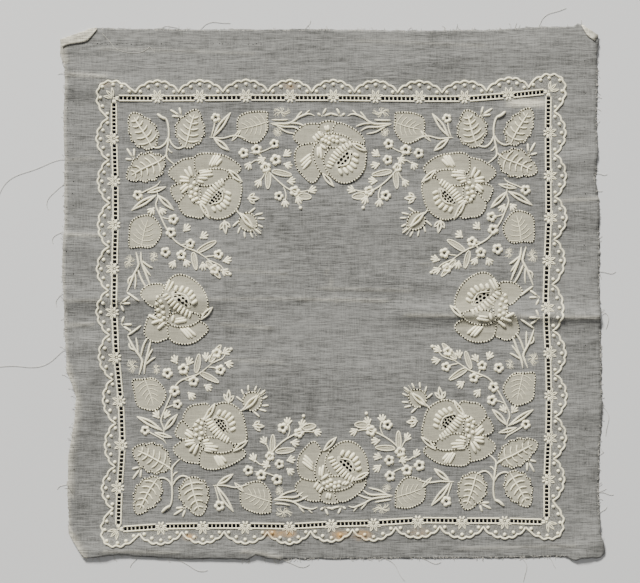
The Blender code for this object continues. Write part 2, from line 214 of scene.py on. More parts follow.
# Each rose in pixels about its own middle, x right and y down. Petals, from the lowest to the one on top:
# x, y, half length, half width, turn in degrees, waviness. Bars and slips: start, end and width
ROSES = {
    "corner": {
        "petals": (
            (-22, -15, 16.5, 12.5, -38, 0.10), (9, -20, 24, 13, 8, 0.05), (-26, 6, 10.5, 10, -20, 0.06),
            (-15, 20, 15, 12, 48, 0.07), (14, 11, 24, 20.5, -35, 0.045), (-13, 4, 14, 7.5, 78, 0.0),
            (5, -9, 18, 8.5, -9, 0.0),
        ),
        "bars": (
            (-14, -9, -18, -19, 2.6), (-16.5, -8, -22.5, -16, 2.4), (-17, -6.5, -27, -9, 2.6),
            (-17, -4.5, -27, -5, 2.4), (-19, -2, -26.5, 4, 2.6), (-18, 0.5, -25, 7, 2.4),
            (2, -20, 8, -31, 2.2), (4, -19, 11, -31, 2.2), (6, -20, 13, -30, 2.2),
            (8.5, -20, 14.5, -26.5, 2.4), (-7, -12.5, 5, -14.5, 2.4), (-7.5, -10, 6, -11, 2.4),
            (-9, -8, 1, -7.5, 2.2), (-9, -5.5, -3, -3.5, 2.2), (-8, -14.5, 0, -15.5, 1.8),
        ),
        "slips": ((21, -16, 36, -4, 2.4), (-8, 15, 3, 33, 2.4)),
        "knots": (
            (-12, -3), (-15.5, 1), (-10, 3), (-15, 6.5), (-11, 8), (-16, 11), (-10, 12.5), (-13.5, 14.5),
            (-8, 16.5),
        ),
        "eye": {"start": (17, 3.5), "end": (2.5, 19.5), "width": 4.2, "near": 11, "far": 6, "rows": 3},
    },
    "end": {
        "petals": (
            (-23, -18, 15, 12, -40, 0.06), (-3, -26, 11, 7, -8, 0.03), (17, -18, 18, 9.5, 28, 0.03),
            (-22, 9, 20, 14, 82, 0.05), (-8, 5, 18, 10, 78, 0.0), (15, 8, 23, 20.5, -38, 0.03),
            (4, -12, 18, 8, 4, 0.0),
        ),
        "bars": (
            (-18.5, -17, -14.5, -11.5, 2.4), (-16, -19.5, -12, -14, 2.4), (-13.5, -22, -9.5, -16.5, 2.4),
            (-6.5, -27.5, -4.5, -22, 2.4), (-3.5, -28, -2.5, -22.5, 2.2), (-11, -8.5, -4.5, -3.5, 2.4),
            (-13, -6, -13, 4, 2.2), (-11, -6.5, -9.5, 6, 2.4), (-31, 10, -20, 1, 2.4),
            (-30, 13.5, -20, 4, 2.4), (-28.5, 16.5, -20, 7, 2.4), (9, -13.5, 13, -10.5, 2.0),
            (11.5, -14, 16, -11, 2.0),
        ),
        "slips": ((21, -10, 36, -1, 2.4), (-9, 20, 3.5, 34, 2.4)),
        "knots": (
            (-8.5, -13), (-5, -16), (-5, -11.5), (-1.5, -14), (-2, -9.5), (2, -16), (2.5, -12), (6, -15),
            (6.5, -11),
        ),
        "eye": {"start": (21, -1.5), "end": (5.5, 14.5), "width": 4.2, "near": 10, "far": 6, "rows": 2},
    },
    "side": {
        "petals": (
            (-24, -17, 13, 12, -40, 0.06), (-20, 18, 15, 13.5, 25, 0.06), (9, 20, 21, 13, -6, 0.04),
            (8, -14, 25, 19.5, 38, 0.03), (-15, -1, 16, 8, 86, 0.0), (6, 8, 17, 8, -5, 0.0),
        ),
        "bars": (
            (-29, 4, -20, 8, 2.6), (-26, 12, -17, 9, 2.6), (-20, 17.5, -12.5, 11.5, 2.6),
            (-5.5, 11, -4, 4.5, 2.4), (-3, 11.5, 9, 9, 2.8), (-2, 8.5, 7, 7, 2.0), (2.5, 17, 11, 27, 2.4),
            (5.5, 16.5, 14, 26.5, 2.4), (8.5, 16, 17.5, 24.5, 2.4), (-12.5, -20, -7.5, -31, 2.2),
            (-10, -18.5, -4, -29.5, 2.2),
        ),
        "slips": ((23, 9, 35, -3.5, 2.4),),
        "knots": (
            (-20, -14), (-17, -9.5), (-21, -7), (-15, -4), (-19.5, -1), (-14, 2), (-18, 4.5), (-13.5, 7),
            (-16, 9.5),
        ),
        "eye": {"start": (-5, -18), "end": (12.5, -4.5), "width": 4.6, "near": 9, "far": 6, "rows": 2},
    },
}
ROSE_SATIN = 1.3  # padded bars on the petals, against the widths above
# Which rose stands where, in pixels of the photograph, and whether it is mirrored across x and y
ROSE_PLACES = (
    ("corner", 207, 186, 1, 1), ("corner", 457, 186, -1, 1), ("corner", 212, 436, 1, -1),
    ("corner", 457, 433, -1, -1), ("end", 331, 153, 1, 1), ("end", 333, 471, 1, -1),
    ("side", 178, 311, 1, 1), ("side", 485, 309, -1, 1),
)

# The rest is drawn once in pixels, for the upper left quarter, and mirrored into the others
SERRATED_LEAVES = (
    (151.8, 146.7, 131.4, 112.6, 14.5), (185.5, 145.7, 196.7, 108.5, 15.5),
    (163.0, 159.0, 125.8, 178.6, 14.8),
)
# Middle x, y, tip x, y, half width and the place where the stem meets it
POINTED_LEAVES = ((252.3, 126.8, 269.5, 110.5, 16.2, 270, 122), (145.3, 231.3, 128.5, 248.5, 16.6, 141, 249))
STEMS = (
    (((157, 114), (166, 119.5), (168.4, 128), (168.2, 137), (166.6, 155), (170, 161), (176, 166)), 1.5),
    (((157.5, 113.5), (162, 117.5), (167, 119.5)), 2.4),
    (((168, 137), (164.5, 143.5), (158.5, 147.2), (151.8, 146.7)), 1.4),
    (((168.2, 138), (171.5, 144.5), (177.5, 148.3), (185.5, 145.7)), 1.4),
    (((166.6, 154), (164.5, 157), (160, 160)), 1.3),
    (((167.6, 148), (170, 151.5), (172.5, 152.5)), 1.1),
    (((157, 186), (158, 197), (156, 205), (160, 216), (166, 228), (175, 241), (186, 247), (196, 251),
      (210, 261)), 1.2), (((139, 195), (148, 190), (157, 185), (160, 181)), 1.0),
    (((209, 137.6), (222, 138), (234, 136), (246, 139)), 1.2), (((216, 118), (214, 128), (211, 137)), 1.0),
    (((173, 220), (166, 219), (161, 217)), 0.9), (((190.5, 243), (184, 244), (180, 245)), 0.9),
    (((181, 255), (184, 250), (186, 247)), 0.9), (((215, 270), (212, 264), (207, 259)), 0.9),
    (((218, 254), (212, 256), (205, 257)), 0.9), (((225, 272), (221, 266), (215, 263), (208, 260)), 0.9),
    (((266, 170), (277, 181), (289, 189), (300, 192), (312, 190)), 1.2),
    (((283, 186), (286, 194), (285, 202)), 0.9), (((291, 190), (296, 196), (300, 206)), 0.9),
    (((257, 150), (263, 158), (266, 168), (266, 173)), 1.0),
    (((274, 146), (266, 150), (258, 152), (250, 152)), 0.9), (((249, 165), (256, 160), (262, 160)), 0.9),
    (((259, 182), (263, 177), (266, 171)), 0.9),
)
STEM_SWELL = 1.25  # stems and reeds, against their widths in these tables
REEDS = (
    (((272, 120.5), (280, 120.3), (288, 119.5)), 1.3),
    (((271, 124.2), (289, 123.3), (299, 117.7), (309, 114.2), (315, 115.8)), 1.5),
    (((296, 118.8), (299, 115), (302, 111.6)), 1.3), (((289, 122.8), (298, 124), (306, 127.2)), 1.4),
    (((272, 124.8), (282, 126.8), (294, 127.4), (301, 131.5)), 1.5),
    (((276, 126), (285, 131.5), (295, 134)), 1.3), (((304, 116), (308, 112), (310, 110)), 1.0),
    (((136, 252), (138.5, 261), (139, 267), (133, 278), (127, 291)), 1.8),
    (((141, 252), (142, 261.5), (147, 276), (150, 285)), 1.8),
    (((138.5, 270), (142, 280), (146.5, 288)), 1.6), (((142, 261), (149, 266), (153, 268)), 1.6),
    (((142.5, 264), (148, 272), (151, 276)), 1.5), (((134, 276), (129, 279), (128, 284)), 1.4),
    (((136, 272), (136, 281), (135, 289)), 1.4), (((127, 292), (133, 296), (140, 301)), 1.7),
)
FERNS = ((281, 112, 9.0, 5.5), (277.5, 132.5, 4.5, 4.0), (129.5, 261.5, 5.5, 8.0), (153.5, 256.5, 3.8, 5.0))
WILLOW_LEAVES = (
    (156.5, 194.5, 131.4, 210.5, 2.6), (158.0, 194.5, 173.3, 210.5, 2.6), (213.0, 137.0, 230.5, 112.5, 2.6),
    (213.5, 138.5, 229.0, 150.0, 2.6), (166.0, 187.0, 148.0, 192.5, 2.0), (241.0, 131.0, 231.0, 141.0, 1.6),
)
LOBED_WIDTH = 6.5  # small leaves wider than this have three lobes
SMALL_LEAVES = (
    (268, 172, 268, 189, 5.0), (272, 172, 291, 175, 5.0), (299, 196, 312, 197, 6.0),
    (197, 252, 216, 241, 5.0), (193, 252, 197, 270, 5.0), (248, 198, 260, 198, 7.0),
    (224, 220, 226, 234, 7.0), (207, 262, 220, 278, 5.0),
)
FLOWERS = (
    (138.6, 195.2), (216, 118), (274, 144), (257, 149), (244, 153), (276, 160), (266, 168), (295, 191),
    (279, 196), (173, 220), (171, 233), (190.5, 243), (165, 252), (181, 255), (218, 254), (215, 270),
)
# Bud tips: x, y, and the heading that they open to, in degrees clockwise from the right
BUDS = (
    (287, 153, -40), (288, 165, 15), (249, 166, 115), (259, 183, 120), (291, 181, -8), (313, 190, -25),
    (285, 203, 80), (299, 200, 70), (187, 228, -50), (204.5, 236, -35), (173, 265, 115), (187, 263, 60),
    (204, 267, 80), (227, 260, -15), (225, 272, 25), (262, 160, 150), (162, 211, 60), (151.5, 211, 125),
)
BERRIES = ((300.5, 208), (230, 274.5))
TWIGS = (
    (182, 117, ((170, 110), (179, 107.5), (172, 116.5))),
    (135, 160, ((127, 148), (134.5, 148.5), (126, 158.5))),
    (322, 116, ((318, 113), (326, 108), (332, 113.5))), (120.5, 303, ((130, 296), (131, 303), (124, 311))),
)
MOSS_BUD = (248.5, 222.5, 45)

# Stains: x, y and reach in pixels of the photograph, and strength
STAINS = (
    (272, 533.5, 11, 1.25), (288, 533, 10, 1.1), (340, 535, 12, 1.0), (362, 535.5, 13, 1.0),
    (189, 537, 9, 0.8), (290, 86, 10, 0.35), (420, 533, 14, 0.3), (106, 84, 10, 0.15),
)
STAIN_STRETCH = (1.0, 1.9, 0.0)  # stains are drawn out along the lower edge
# Small pricked holes in the margins, in pixels: first and last, and how many
PRICKED_ROWS = (
    ((88, 44), (262, 44), 37), ((67.5, 96), (66.0, 330), 22), ((73, 90), (73.5, 470), 34),
    ((584, 60), (585, 480), 26), ((99, 553.5), (120, 553), 2), ((581.6, 526), (581.3, 539), 2),
)
MEND = {"centre": (527, 103), "half": (19, 4)}

# Threads that have come loose: side, place along it in mm, start heading and bend in degrees, length in mm
LOOSE_THREADS = (
    ("left", 104.0, -8, 62, 59), ("left", 84.0, 4, 95, 24), ("left", 47.0, -20, 120, 13),
    ("left", 2.0, 20, 72, 12), ("left", -43.0, 36, -46, 56), ("left", -150.0, -10, 60, 8),
    ("right", 92.0, -20, 40, 7), ("right", 16.0, -38, 60, 11), ("right", -16.0, 10, -140, 16),
    ("right", -88.0, -50, -62, 24), ("right", -156.0, -20, 12, 10), ("right", -173.0, 18, 30, 6),
    ("bottom", -152.0, -22, -10, 8), ("bottom", -122.0, 36, 62, 25), ("bottom", -38.0, 30, 84, 20),
    ("bottom", 40.0, 52, -24, 22), ("bottom", 69.0, 34, 70, 14), ("bottom", 147.0, 44, -72, 19),
    ("bottom", 168.0, 44, -20, 9), ("top", -134.0, -48, -60, 12), ("top", -104.0, -50, -52, 24),
    ("top", 160.0, -30, -52, 26),
)
# A long thread that lies on the cloth itself, in pixels of the photograph
LYING_THREAD = ((102, 33), (110, 42), (118, 50), (132, 53), (142, 52), (148, 48.5), (150, 47), (155, 53))
ROOTED = 3  # millimetres of a loose thread that lie within the edge, past its length above
FRAY_SHAPE, FRAY_SCALE, FRAY_LEAST = 2.0, 0.00085, 0.0006  # lengths of the short frayed ends
THREAD_RISE = 0.0002  # over the lawn's underside, where a thread leaves it
THREAD_FALL = 0.006  # the length in which a thread comes down to the surface

# The raw sides, and the axis that each one follows
SIDES = {"left": (LEFT_SIDE, 1), "right": (RIGHT_SIDE, 1), "bottom": (BOTTOM_SIDE, 0), "top": (TOP_SIDE, 0)}

# Applied cloth, from its underside over the rim to its face: share of the outline's reach, height in layers
LAYER_RINGS = (
    (0.25, -0.9), (0.5, -0.9), (0.75, -0.9), (1.0, -0.9), (0.99, 0.2), (0.955, 0.9), (0.86, 1.05),
    (0.73, 1.0), (0.6, 1.0), (0.47, 1.0), (0.34, 1.0), (0.2, 1.0),
)

# Shading of the yarn: noise scale, its stretch, detail, the noise from and to, and the shade there
YARN_STREAKS = (
    (1.0, (18, 240, 1), 4.0, 0.36, 0.64, -0.30, 0.30),
    (1.0, (95, 1150, 1), 2.0, 0.36, 0.64, -0.55, 0.66),
    (1.0, (1050, 80, 1), 2.0, 0.36, 0.64, -0.26, 0.26),
    (1.0, (800, 1300, 1), 1.0, 0.36, 0.64, -0.25, 0.25),
    (1.0, (60, 900, 1), 1.0, 0.60, 0.72, 0.0, 1.3),
    (9.0, (1, 1.6, 1), 3.0, 0.36, 0.64, -0.22, 0.22),
)


# Settings

class ClothSettings(bpy.types.PropertyGroup):
    """Sizes and colours of the lawn itself."""

    thickness: FloatProperty(
        name="Thickness", description="Thickness of the lawn", default=0.0003, subtype="DISTANCE"
    )
    columns: IntProperty(name="Columns", description="Grid columns across the cloth", default=132, min=20)
    rows: IntProperty(name="Rows", description="Grid rows up the cloth", default=290, min=20)
    flap_radius: FloatProperty(
        name="Fold radius", description="Radius of the turned corner's fold",
        default=0.00045, subtype="DISTANCE"
    )
    colour: FloatVectorProperty(
        name="Lawn", description="Colour of the single lawn", default=(0.166, 0.168, 0.164), subtype="COLOR"
    )
    # Painted highlight: this paler colour also draws the pale lines along the creases
    doubled_and_highlight_colour: FloatVectorProperty(
        name="Doubled lawn and crease highlight", description="Colour where it is doubled, and of the painted crease highlights",
        default=(0.53, 0.51, 0.43), subtype="COLOR"
    )
    opacity: FloatProperty(
        name="Opacity", description="How little shows through it", default=0.93, subtype="FACTOR"
    )
    streaks: FloatProperty(
        name="Slubs", description="Strength of the slubby yarn streaks", default=0.56, subtype="FACTOR"
    )


class StitchSettings(bpy.types.PropertyGroup):
    """Sizes and colours of the embroidery."""

    applied_colour: FloatVectorProperty(
        name="Applied lawn", description="Colour of the applied petals",
        default=(0.325, 0.313, 0.250), subtype="COLOR"
    )
    thread_colour: FloatVectorProperty(
        name="Thread", description="Colour of the embroidery cotton",
        default=(0.96, 0.915, 0.70), subtype="COLOR"
    )
    # Painted shade: the holes are coloured near-black for the dark that shows through them
    hole_shade_colour: FloatVectorProperty(
        name="Holes", description="Colour of the openwork holes",
        default=(0.004, 0.004, 0.005), subtype="COLOR"
    )
    stain_colour: FloatVectorProperty(
        name="Stain", description="Colour of the old stains", default=(0.50, 0.30, 0.11), subtype="COLOR"
    )
    layer: FloatProperty(
        name="Applied layer", description="Thickness of an applied petal", default=0.00022, subtype="DISTANCE"
    )
    relief: FloatProperty(
        name="Relief", description="Height of padded satin for each unit of its width",
        default=0.52, subtype="FACTOR"
    )
    pin_pitch: FloatProperty(
        name="Pin stitch pitch", description="From one pin stitch hole to the next",
        default=0.00215, subtype="DISTANCE"
    )
    pin_hole: FloatProperty(
        name="Pin stitch hole", description="Radius of a pin stitch hole", default=0.00060, subtype="DISTANCE"
    )
    pin_cord: FloatProperty(
        name="Pin stitch edge", description="Width of a pin stitched edge",
        default=0.00105, subtype="DISTANCE"
    )
    flower_hole: FloatProperty(
        name="Flower hole", description="Radius of a small flower's eyelet",
        default=0.00052, subtype="DISTANCE"
    )
    openwork: FloatProperty(
        name="Openwork hole", description="Radius of a hole in a rose's net",
        default=0.00062, subtype="DISTANCE"
    )
    prick: FloatProperty(
        name="Pricked hole", description="Radius of a pricked hole", default=0.0004, subtype="DISTANCE"
    )
    knot: FloatProperty(name="Knot", description="Radius of a seed knot", default=0.00125, subtype="DISTANCE")
    flower: FloatProperty(
        name="Small flower", description="Radius of an eyelet flower", default=0.0043, subtype="DISTANCE"
    )


class BorderSettings(bpy.types.PropertyGroup):
    """Sizes of the scalloped border and its openwork ladder."""

    cord: FloatProperty(
        name="Scallop cord", description="Half width of the edge cord", default=0.00078, subtype="DISTANCE"
    )
    ladder_gap: FloatProperty(
        name="Ladder half width", description="From the ladder's middle to each cord",
        default=0.00195, subtype="DISTANCE"
    )
    ladder_cord: FloatProperty(
        name="Ladder cord", description="Half width of each ladder cord", default=0.00056, subtype="DISTANCE"
    )
    eyelet: FloatProperty(
        name="Ladder eyelet", description="Radius of a ladder hole", default=0.00127, subtype="DISTANCE"
    )
    eyelets: IntProperty(name="Eyelets", description="Holes between two daisies", default=8, min=3)
    bead: FloatProperty(
        name="Bead", description="Radius of a bead in a scallop", default=0.0012, subtype="DISTANCE"
    )
    valley: FloatProperty(
        name="Valley", description="Scallop's reach at its valleys", default=0.0047, subtype="DISTANCE"
    )
    peak: FloatProperty(
        name="Peak", description="Scallop's reach at its peak", default=0.0134, subtype="DISTANCE"
    )


class FringeSettings(bpy.types.PropertyGroup):
    """Sizes of the frayed edge."""

    radius: FloatProperty(
        name="Thread", description="Radius of a single thread", default=0.00013, subtype="DISTANCE"
    )
    per_side: IntProperty(name="Ends", description="Frayed ends along each side", default=230, min=0)
    colour: FloatVectorProperty(
        name="Colour", description="Colour of a single thread", default=(0.50, 0.485, 0.44), subtype="COLOR"
    )


class StageSettings(bpy.types.PropertyGroup):
    """Floor, lights and camera."""

    floor_colour: FloatVectorProperty(
        name="Floor", description="Colour of the plain floor", default=(0.60, 0.613, 0.634), subtype="COLOR"
    )
    floor_size: FloatProperty(
        name="Floor size", description="Side of the floor", default=14.0, subtype="DISTANCE"
    )
    key_power: FloatProperty(
        name="Key light", description="Power of the key light", default=840.0, unit="POWER"
    )
    fill_power: FloatProperty(
        name="Fill light", description="Power of the soft fill", default=4.0, unit="POWER"
    )
    surroundings: FloatProperty(
        name="Surroundings", description="Strength of the light all round", default=0.225
    )
    lens: FloatProperty(name="Lens", description="Focal length in millimetres", default=100.0)


# Numbers and places

def world(points):
    """Metres on the cloth for pixels of the photograph."""
    points = np.atleast_2d(np.asarray(points, dtype=float))
    return np.column_stack([(points[:, 0] - MIDDLE[0]) * PIXEL, (MIDDLE[1] - points[:, 1]) * PIXEL])


def beside(x, y, start, end):
    """How far arrays of places lie from a line between two points that are given in millimetres."""
    a = np.array(start) / 1000
    run = np.array(end) / 1000 - a
    share = np.clip(((x - a[0]) * run[0] + (y - a[1]) * run[1]) / (run @ run), 0, 1)
    return np.hypot(x - a[0] - share * run[0], y - a[1] - share * run[1])


def toward(angle):
    """A step of length 1 at an angle."""
    return np.array([math.cos(angle), math.sin(angle)])


def square_to(step):
    """The same step, turned a quarter."""
    return np.array([-step[1], step[0]])


def lift(x, y):
    """Height of the lawn's underside over the surface at arrays of places, in metres."""
    height = np.zeros_like(x)
    for start, end, rise, half_width in FOLDS + CREASES:
        height += rise / 1000 * np.exp(-((beside(x, y, start, end) / (half_width / 1000)) ** 2))
    return np.maximum(0.0, height - LEAST_FOLD) + LAWN_GAP


def face_height(x, y):
    """Height of the lawn's upper face."""
    return lift(x, y) + bpy.context.scene.hk_cloth.thickness


def smooth_line(points, step):
    """A smooth curve through a few points, with a point about every step."""
    points = np.asarray(points, dtype=float)
    row = np.vstack([2 * points[0] - points[1], points, 2 * points[-1] - points[-2]])
    out = []
    for i in range(len(points) - 1):
        a, b, c, d = row[i : i + 4]
        count = max(2, int(round(np.linalg.norm(c - b) / step)))
        t = np.linspace(0, 1, count, endpoint=False)[:, None]
        bend, twist = 2 * a - 5 * b + 4 * c - d, 3 * b - a - 3 * c + d
        out.append(0.5 * (2 * b + (c - a) * t + bend * t**2 + twist * t**3))
    return np.vstack([*out, points[-1:]])


def inside(points, outline):
    """Which points lie inside a closed outline."""
    hit = np.zeros(len(points), dtype=bool)
    following = np.roll(outline, -1, axis=0)
    for (ax, ay), (bx, by) in zip(outline, following):
        crosses = (ay > points[:, 1]) != (by > points[:, 1])
        with np.errstate(divide="ignore", invalid="ignore"):
            hit ^= crosses & (points[:, 0] < (bx - ax) * (points[:, 1] - ay) / (by - ay) + ax)
    return hit


def ladder_frame(points):
    """Places in the square of the openwork ladder, from -1 to 1 each way, for pixels of the photograph."""
    points = np.asarray(points, dtype=float)
    x, y = points[:, 0], points[:, 1]
    left, right, top, bottom = ladder_lines(x, y)
    return np.column_stack([2 * (x - left) / (right - left) - 1, 2 * (y - top) / (bottom - top) - 1])


def ladder_lines(x, y):
    """Where the ladder's left and right sides stand at heights y, and its top and bottom at places x."""
    upright = [np.interp(y, *np.array(DAISIES[side]).T[::-1]) for side in ("left", "right")]
    level = [np.interp(x, *np.array(DAISIES[side]).T) for side in ("top", "bottom")]
    return *upright, *level


def from_ladder_frame(square):
    """The opposite of ladder_frame, in three rounds, since each side bends a little."""
    middle, half = (331.5, 311.5), (216, 214)  # a first guess, in pixels
    x, y = (middle[axis] + half[axis] * square[:, axis] for axis in range(2))
    for _ in range(3):
        left, right, top, bottom = ladder_lines(x, y)
        x = left + (right - left) * (square[:, 0] + 1) / 2
        y = top + (bottom - top) * (square[:, 1] + 1) / 2
    return np.column_stack([x, y])


def mirrored(points, flip_x, flip_y):
    """Moves points of the upper left quarter to another quarter of the pattern."""
    if flip_x > 0 and flip_y > 0:
        return np.asarray(points, dtype=float)
    return from_ladder_frame(ladder_frame(points) * (flip_x, flip_y))


# Stitches are collected as plain shapes in pixels of the photograph before anything is built

class Stitching:
    """Bars, knots, cords, pin stitched lines, holes, flowers and applied layers."""

    kinds = ("bars", "knots", "cords", "pins", "holes", "flowers", "layers")

    def __init__(self):
        for kind in self.kinds:
            setattr(self, kind, [])

    def bar(self, start, end, width, tall=1.0):
        self.bars.append((np.array([start, end], dtype=float), width, tall))

    def knot(self, place, scale=1.0):
        self.knots.append((np.array([place], dtype=float), scale))

    def cord(self, points, width, taper=True, over=0.0):
        self.cords.append((np.asarray(points, dtype=float), width, taper, over))

    def pin(self, points, closed=False):
        self.pins.append((np.asarray(points, dtype=float), closed))

    def hole(self, place, scale=1.0, turn=0.0, stretch=1.0):
        heading = (place[0] + math.cos(turn), place[1] + math.sin(turn))
        self.holes.append((np.array([place, heading], dtype=float), scale, stretch))

    def flower(self, place, turn):
        self.flowers.append((np.array([place], dtype=float), turn))

    def layer(self, outline, level, shade=0.0):
        self.layers.append((np.asarray(outline, dtype=float), level, shade))

    def moved(self, move):
        """A copy with every point passed through move."""
        copy = Stitching()
        for kind in self.kinds:
            setattr(copy, kind, [(move(row[0]), *row[1:]) for row in getattr(self, kind)])
        return copy

    def add(self, other):
        for kind in self.kinds:
            getattr(self, kind).extend(getattr(other, kind))


def wobble(rng, reach):
    """A hand's unevenness: shifts points by a slow wave with its own phases."""
    phase = rng.uniform(0, 2 * math.pi, 4)

    def move(points):
        x, y = points[:, 0], points[:, 1]
        dx = np.sin(0.11 * x + phase[0]) + np.sin(0.17 * y + phase[1])
        dy = np.sin(0.13 * y + phase[2]) + np.sin(0.19 * x + phase[3])
        return points + reach * np.column_stack([dx, dy])

    return move


def quarters(drawing, seed, reach=0.35):
    """The upper left quarter's stitches and their three mirrored, slightly uneven copies."""
    rng = np.random.default_rng(seed)
    whole = Stitching()
    for flip_x, flip_y in ((1, 1), (-1, 1), (1, -1), (-1, -1)):
        shift = wobble(rng, reach)
        whole.add(drawing.moved(lambda points: shift(mirrored(points, flip_x, flip_y))))
    return whole


# Roses

def petal_outline(x, y, half_long, half_wide, turn, wave):
    """An egg-shaped petal with a soft wave in its edge."""
    t = np.linspace(0, 2 * math.pi, 64, endpoint=False)
    swell = 1 + wave * np.cos(3 * t + 0.6) + 0.5 * wave * np.cos(5 * t)
    along = half_long * np.cos(t) * swell
    across = half_wide * np.sin(t) * swell * (1 - 0.10 * np.cos(t))
    cos, sin = toward(math.radians(turn))
    return np.column_stack([x + along * cos - across * sin, y + along * sin + across * cos])


def slip(work, start, end, width, over=0.0):
    """A long slender leaf: two satin ridges that part in the middle and meet at both ends."""
    start, end = np.array(start, dtype=float), np.array(end, dtype=float)
    run = end - start
    across = square_to(run) / np.hypot(*run)
    for side in (-1, 1):
        middle = (start + end) / 2 + side * across * width * 0.75
        work.cord(smooth_line([start, middle, end], 1.2), width * 0.8, True, over)


def eye(work, start, end, width, near, far, rows):
    """The openwork heart of a rose: a slanting lens of net, with a row of satin bars along each side."""
    start, end = np.array(start, dtype=float), np.array(end, dtype=float)
    run = end - start
    length = np.hypot(*run)
    along = run / length
    across = square_to(along)
    middle = (start + end) / 2
    lens = []
    for t in np.linspace(0, 2 * math.pi, 36, endpoint=False):
        lens.append(middle + along * math.cos(t) * length * 0.56 + across * math.sin(t) * (width + 0.7))
    work.layer(lens, 3.4, 0.8)
    pitch, gap, scale = (3.5, 2.45, 1.55) if rows == 3 else (4.3, 3.7, 1.95)
    count = int(length / pitch)
    for row in range(rows):
        off = row - (rows - 1) / 2
        inner = off == 0
        holes = count if inner or row == 0 else count - 1
        for i in range(holes):
            share = 0.5 + (i - (holes - 1) / 2 + (0.0 if rows == 2 or inner else 0.5 * off)) * pitch / length
            room = math.sqrt(max(0.0, 1 - (2 * share - 1) ** 2))
            place = start + run * share + across * off * gap * (0.45 + 0.55 * room)
            if room > 0.3:
                work.hole(place, scale * (0.72 + 0.28 * room), math.atan2(run[1], run[0]), 1.15)
    rim = smooth_line([start + along, middle - across * (width + 1.1), end - along], 1.2)
    work.cord(rim, 1.3, True, 0.9)
    for i in range(near):
        share = (i + 0.5) / near
        bend = math.sin(math.pi * share)
        foot = start - along * 5 + (run + along * 10) * share + across * (width * 0.55 + 1.6 * bend + 0.7)
        lean = across + along * (share - 0.5) * 0.9
        work.bar(foot, foot + lean / np.hypot(*lean) * (6.0 + 2.0 * bend), 2.6, 1.1)
    for i in range(far):
        share = (i + 0.5) / far
        bend = math.sin(math.pi * share)
        foot = start - along * 1.5 + (run + along * 3) * share - across * ((width + 1.2) * bend + 1.2)
        lean = -across + along * (share - 0.5) * 0.7
        work.bar(foot, foot + lean / np.hypot(*lean) * (5.8 + 1.9 * bend), 3.7, 0.9)


def rose(kind):
    """One rose about its own middle."""
    parts = ROSES[kind]
    work = Stitching()
    outlines = [petal_outline(*petal) for petal in parts["petals"]]
    for level, outline in enumerate(outlines):
        work.layer(outline, level * 0.35 + 1)
        shown = np.ones(len(outline), dtype=bool)
        for upper in outlines[level + 1 :]:
            middle = upper.mean(axis=0)
            shown &= ~inside(outline, middle + (upper - middle) * 0.97)
        edge = drawn_in(outline, 0.8)
        for part in runs_of(shown):
            if len(part) > 3:
                work.pin(edge[part])
    for x0, y0, x1, y1, width in parts["bars"]:
        work.bar((x0, y0), (x1, y1), width * ROSE_SATIN)
    for x0, y0, x1, y1, width in parts["slips"]:
        slip(work, (x0, y0), (x1, y1), width, 1.2)
    for place in parts["knots"]:
        work.knot(place, 1.25)
    eye(work, **parts["eye"])
    return work


def runs_of(shown):
    """Stretches of a closed outline where shown is true, as lists of indices."""
    count = len(shown)
    if shown.all():
        return [list(range(count)) + [0]]
    if not shown.any():
        return []
    first = next(i for i in range(count) if shown[i] and not shown[i - 1])
    parts, part = [], []
    for k in range(count):
        i = (first + k) % count
        if shown[i]:
            part.append(i)
        elif part:
            parts.append(part)
            part = []
    if part:
        parts.append(part)
    return parts


def all_roses():
    """The eight roses, each with a hand's own unevenness."""
    whole = Stitching()
    rng = np.random.default_rng(SEED + 1)
    for kind, x, y, flip_x, flip_y in ROSE_PLACES:
        shift = wobble(rng, 0.3)
        flower = rose(kind)
        whole.add(flower.moved(lambda points: shift(points * (flip_x, flip_y) + (x, y))))
    return whole


# Leaves, stems and sprays

def leaf_frame(x0, y0, x1, y1):
    """A leaf's base, the steps along and across it, and its length."""
    base, tip = np.array([x0, y0], dtype=float), np.array([x1, y1], dtype=float)
    run = tip - base
    length = np.hypot(*run)
    along = run / length
    return base, along, square_to(along), length


def serrated_leaf(work, x0, y0, x1, y1, half_width):
    """A rose leaf with teeth along its edge, a midrib and five pairs of veins."""
    base, along, across, length = leaf_frame(x0, y0, x1, y1)
    base = base - along * 2
    length += 2
    outline = []
    for side in (1, -1):
        shares = np.linspace(0, 1, 34)
        shares = shares if side > 0 else shares[::-1][1:-1]
        for share in shares:
            width = half_width * math.sin(math.pi * min(1, share**0.8)) ** 0.75
            teeth = 2.7 * ((share * 4.6 + 0.25) % 1) ** 1.5 * (0.08 < share < 0.9)
            outline.append(base + along * share * length + across * side * max(0, width - teeth + 0.8))
    outline = np.array(outline)
    work.layer(outline, 1.0, 0.1)
    work.pin(drawn_in(outline, 0.7), True)
    rib = [base + along * 2, base + along * length * 0.45, base + along * length * 0.86]
    work.cord(smooth_line(rib, 1.5), 1.6, True, 0.4)
    for i in range(5):
        foot = base + along * length * (0.17 + 0.145 * i)
        reach = half_width * (0.72 - 0.10 * i)
        for side in (1, -1):
            bend = foot + along * 1.0 + across * side * reach * 0.55
            end = foot + along * (3.6 - 0.2 * i) + across * side * reach
            work.cord(smooth_line([foot, bend, end], 1.3), 1.5, True, 0.4)


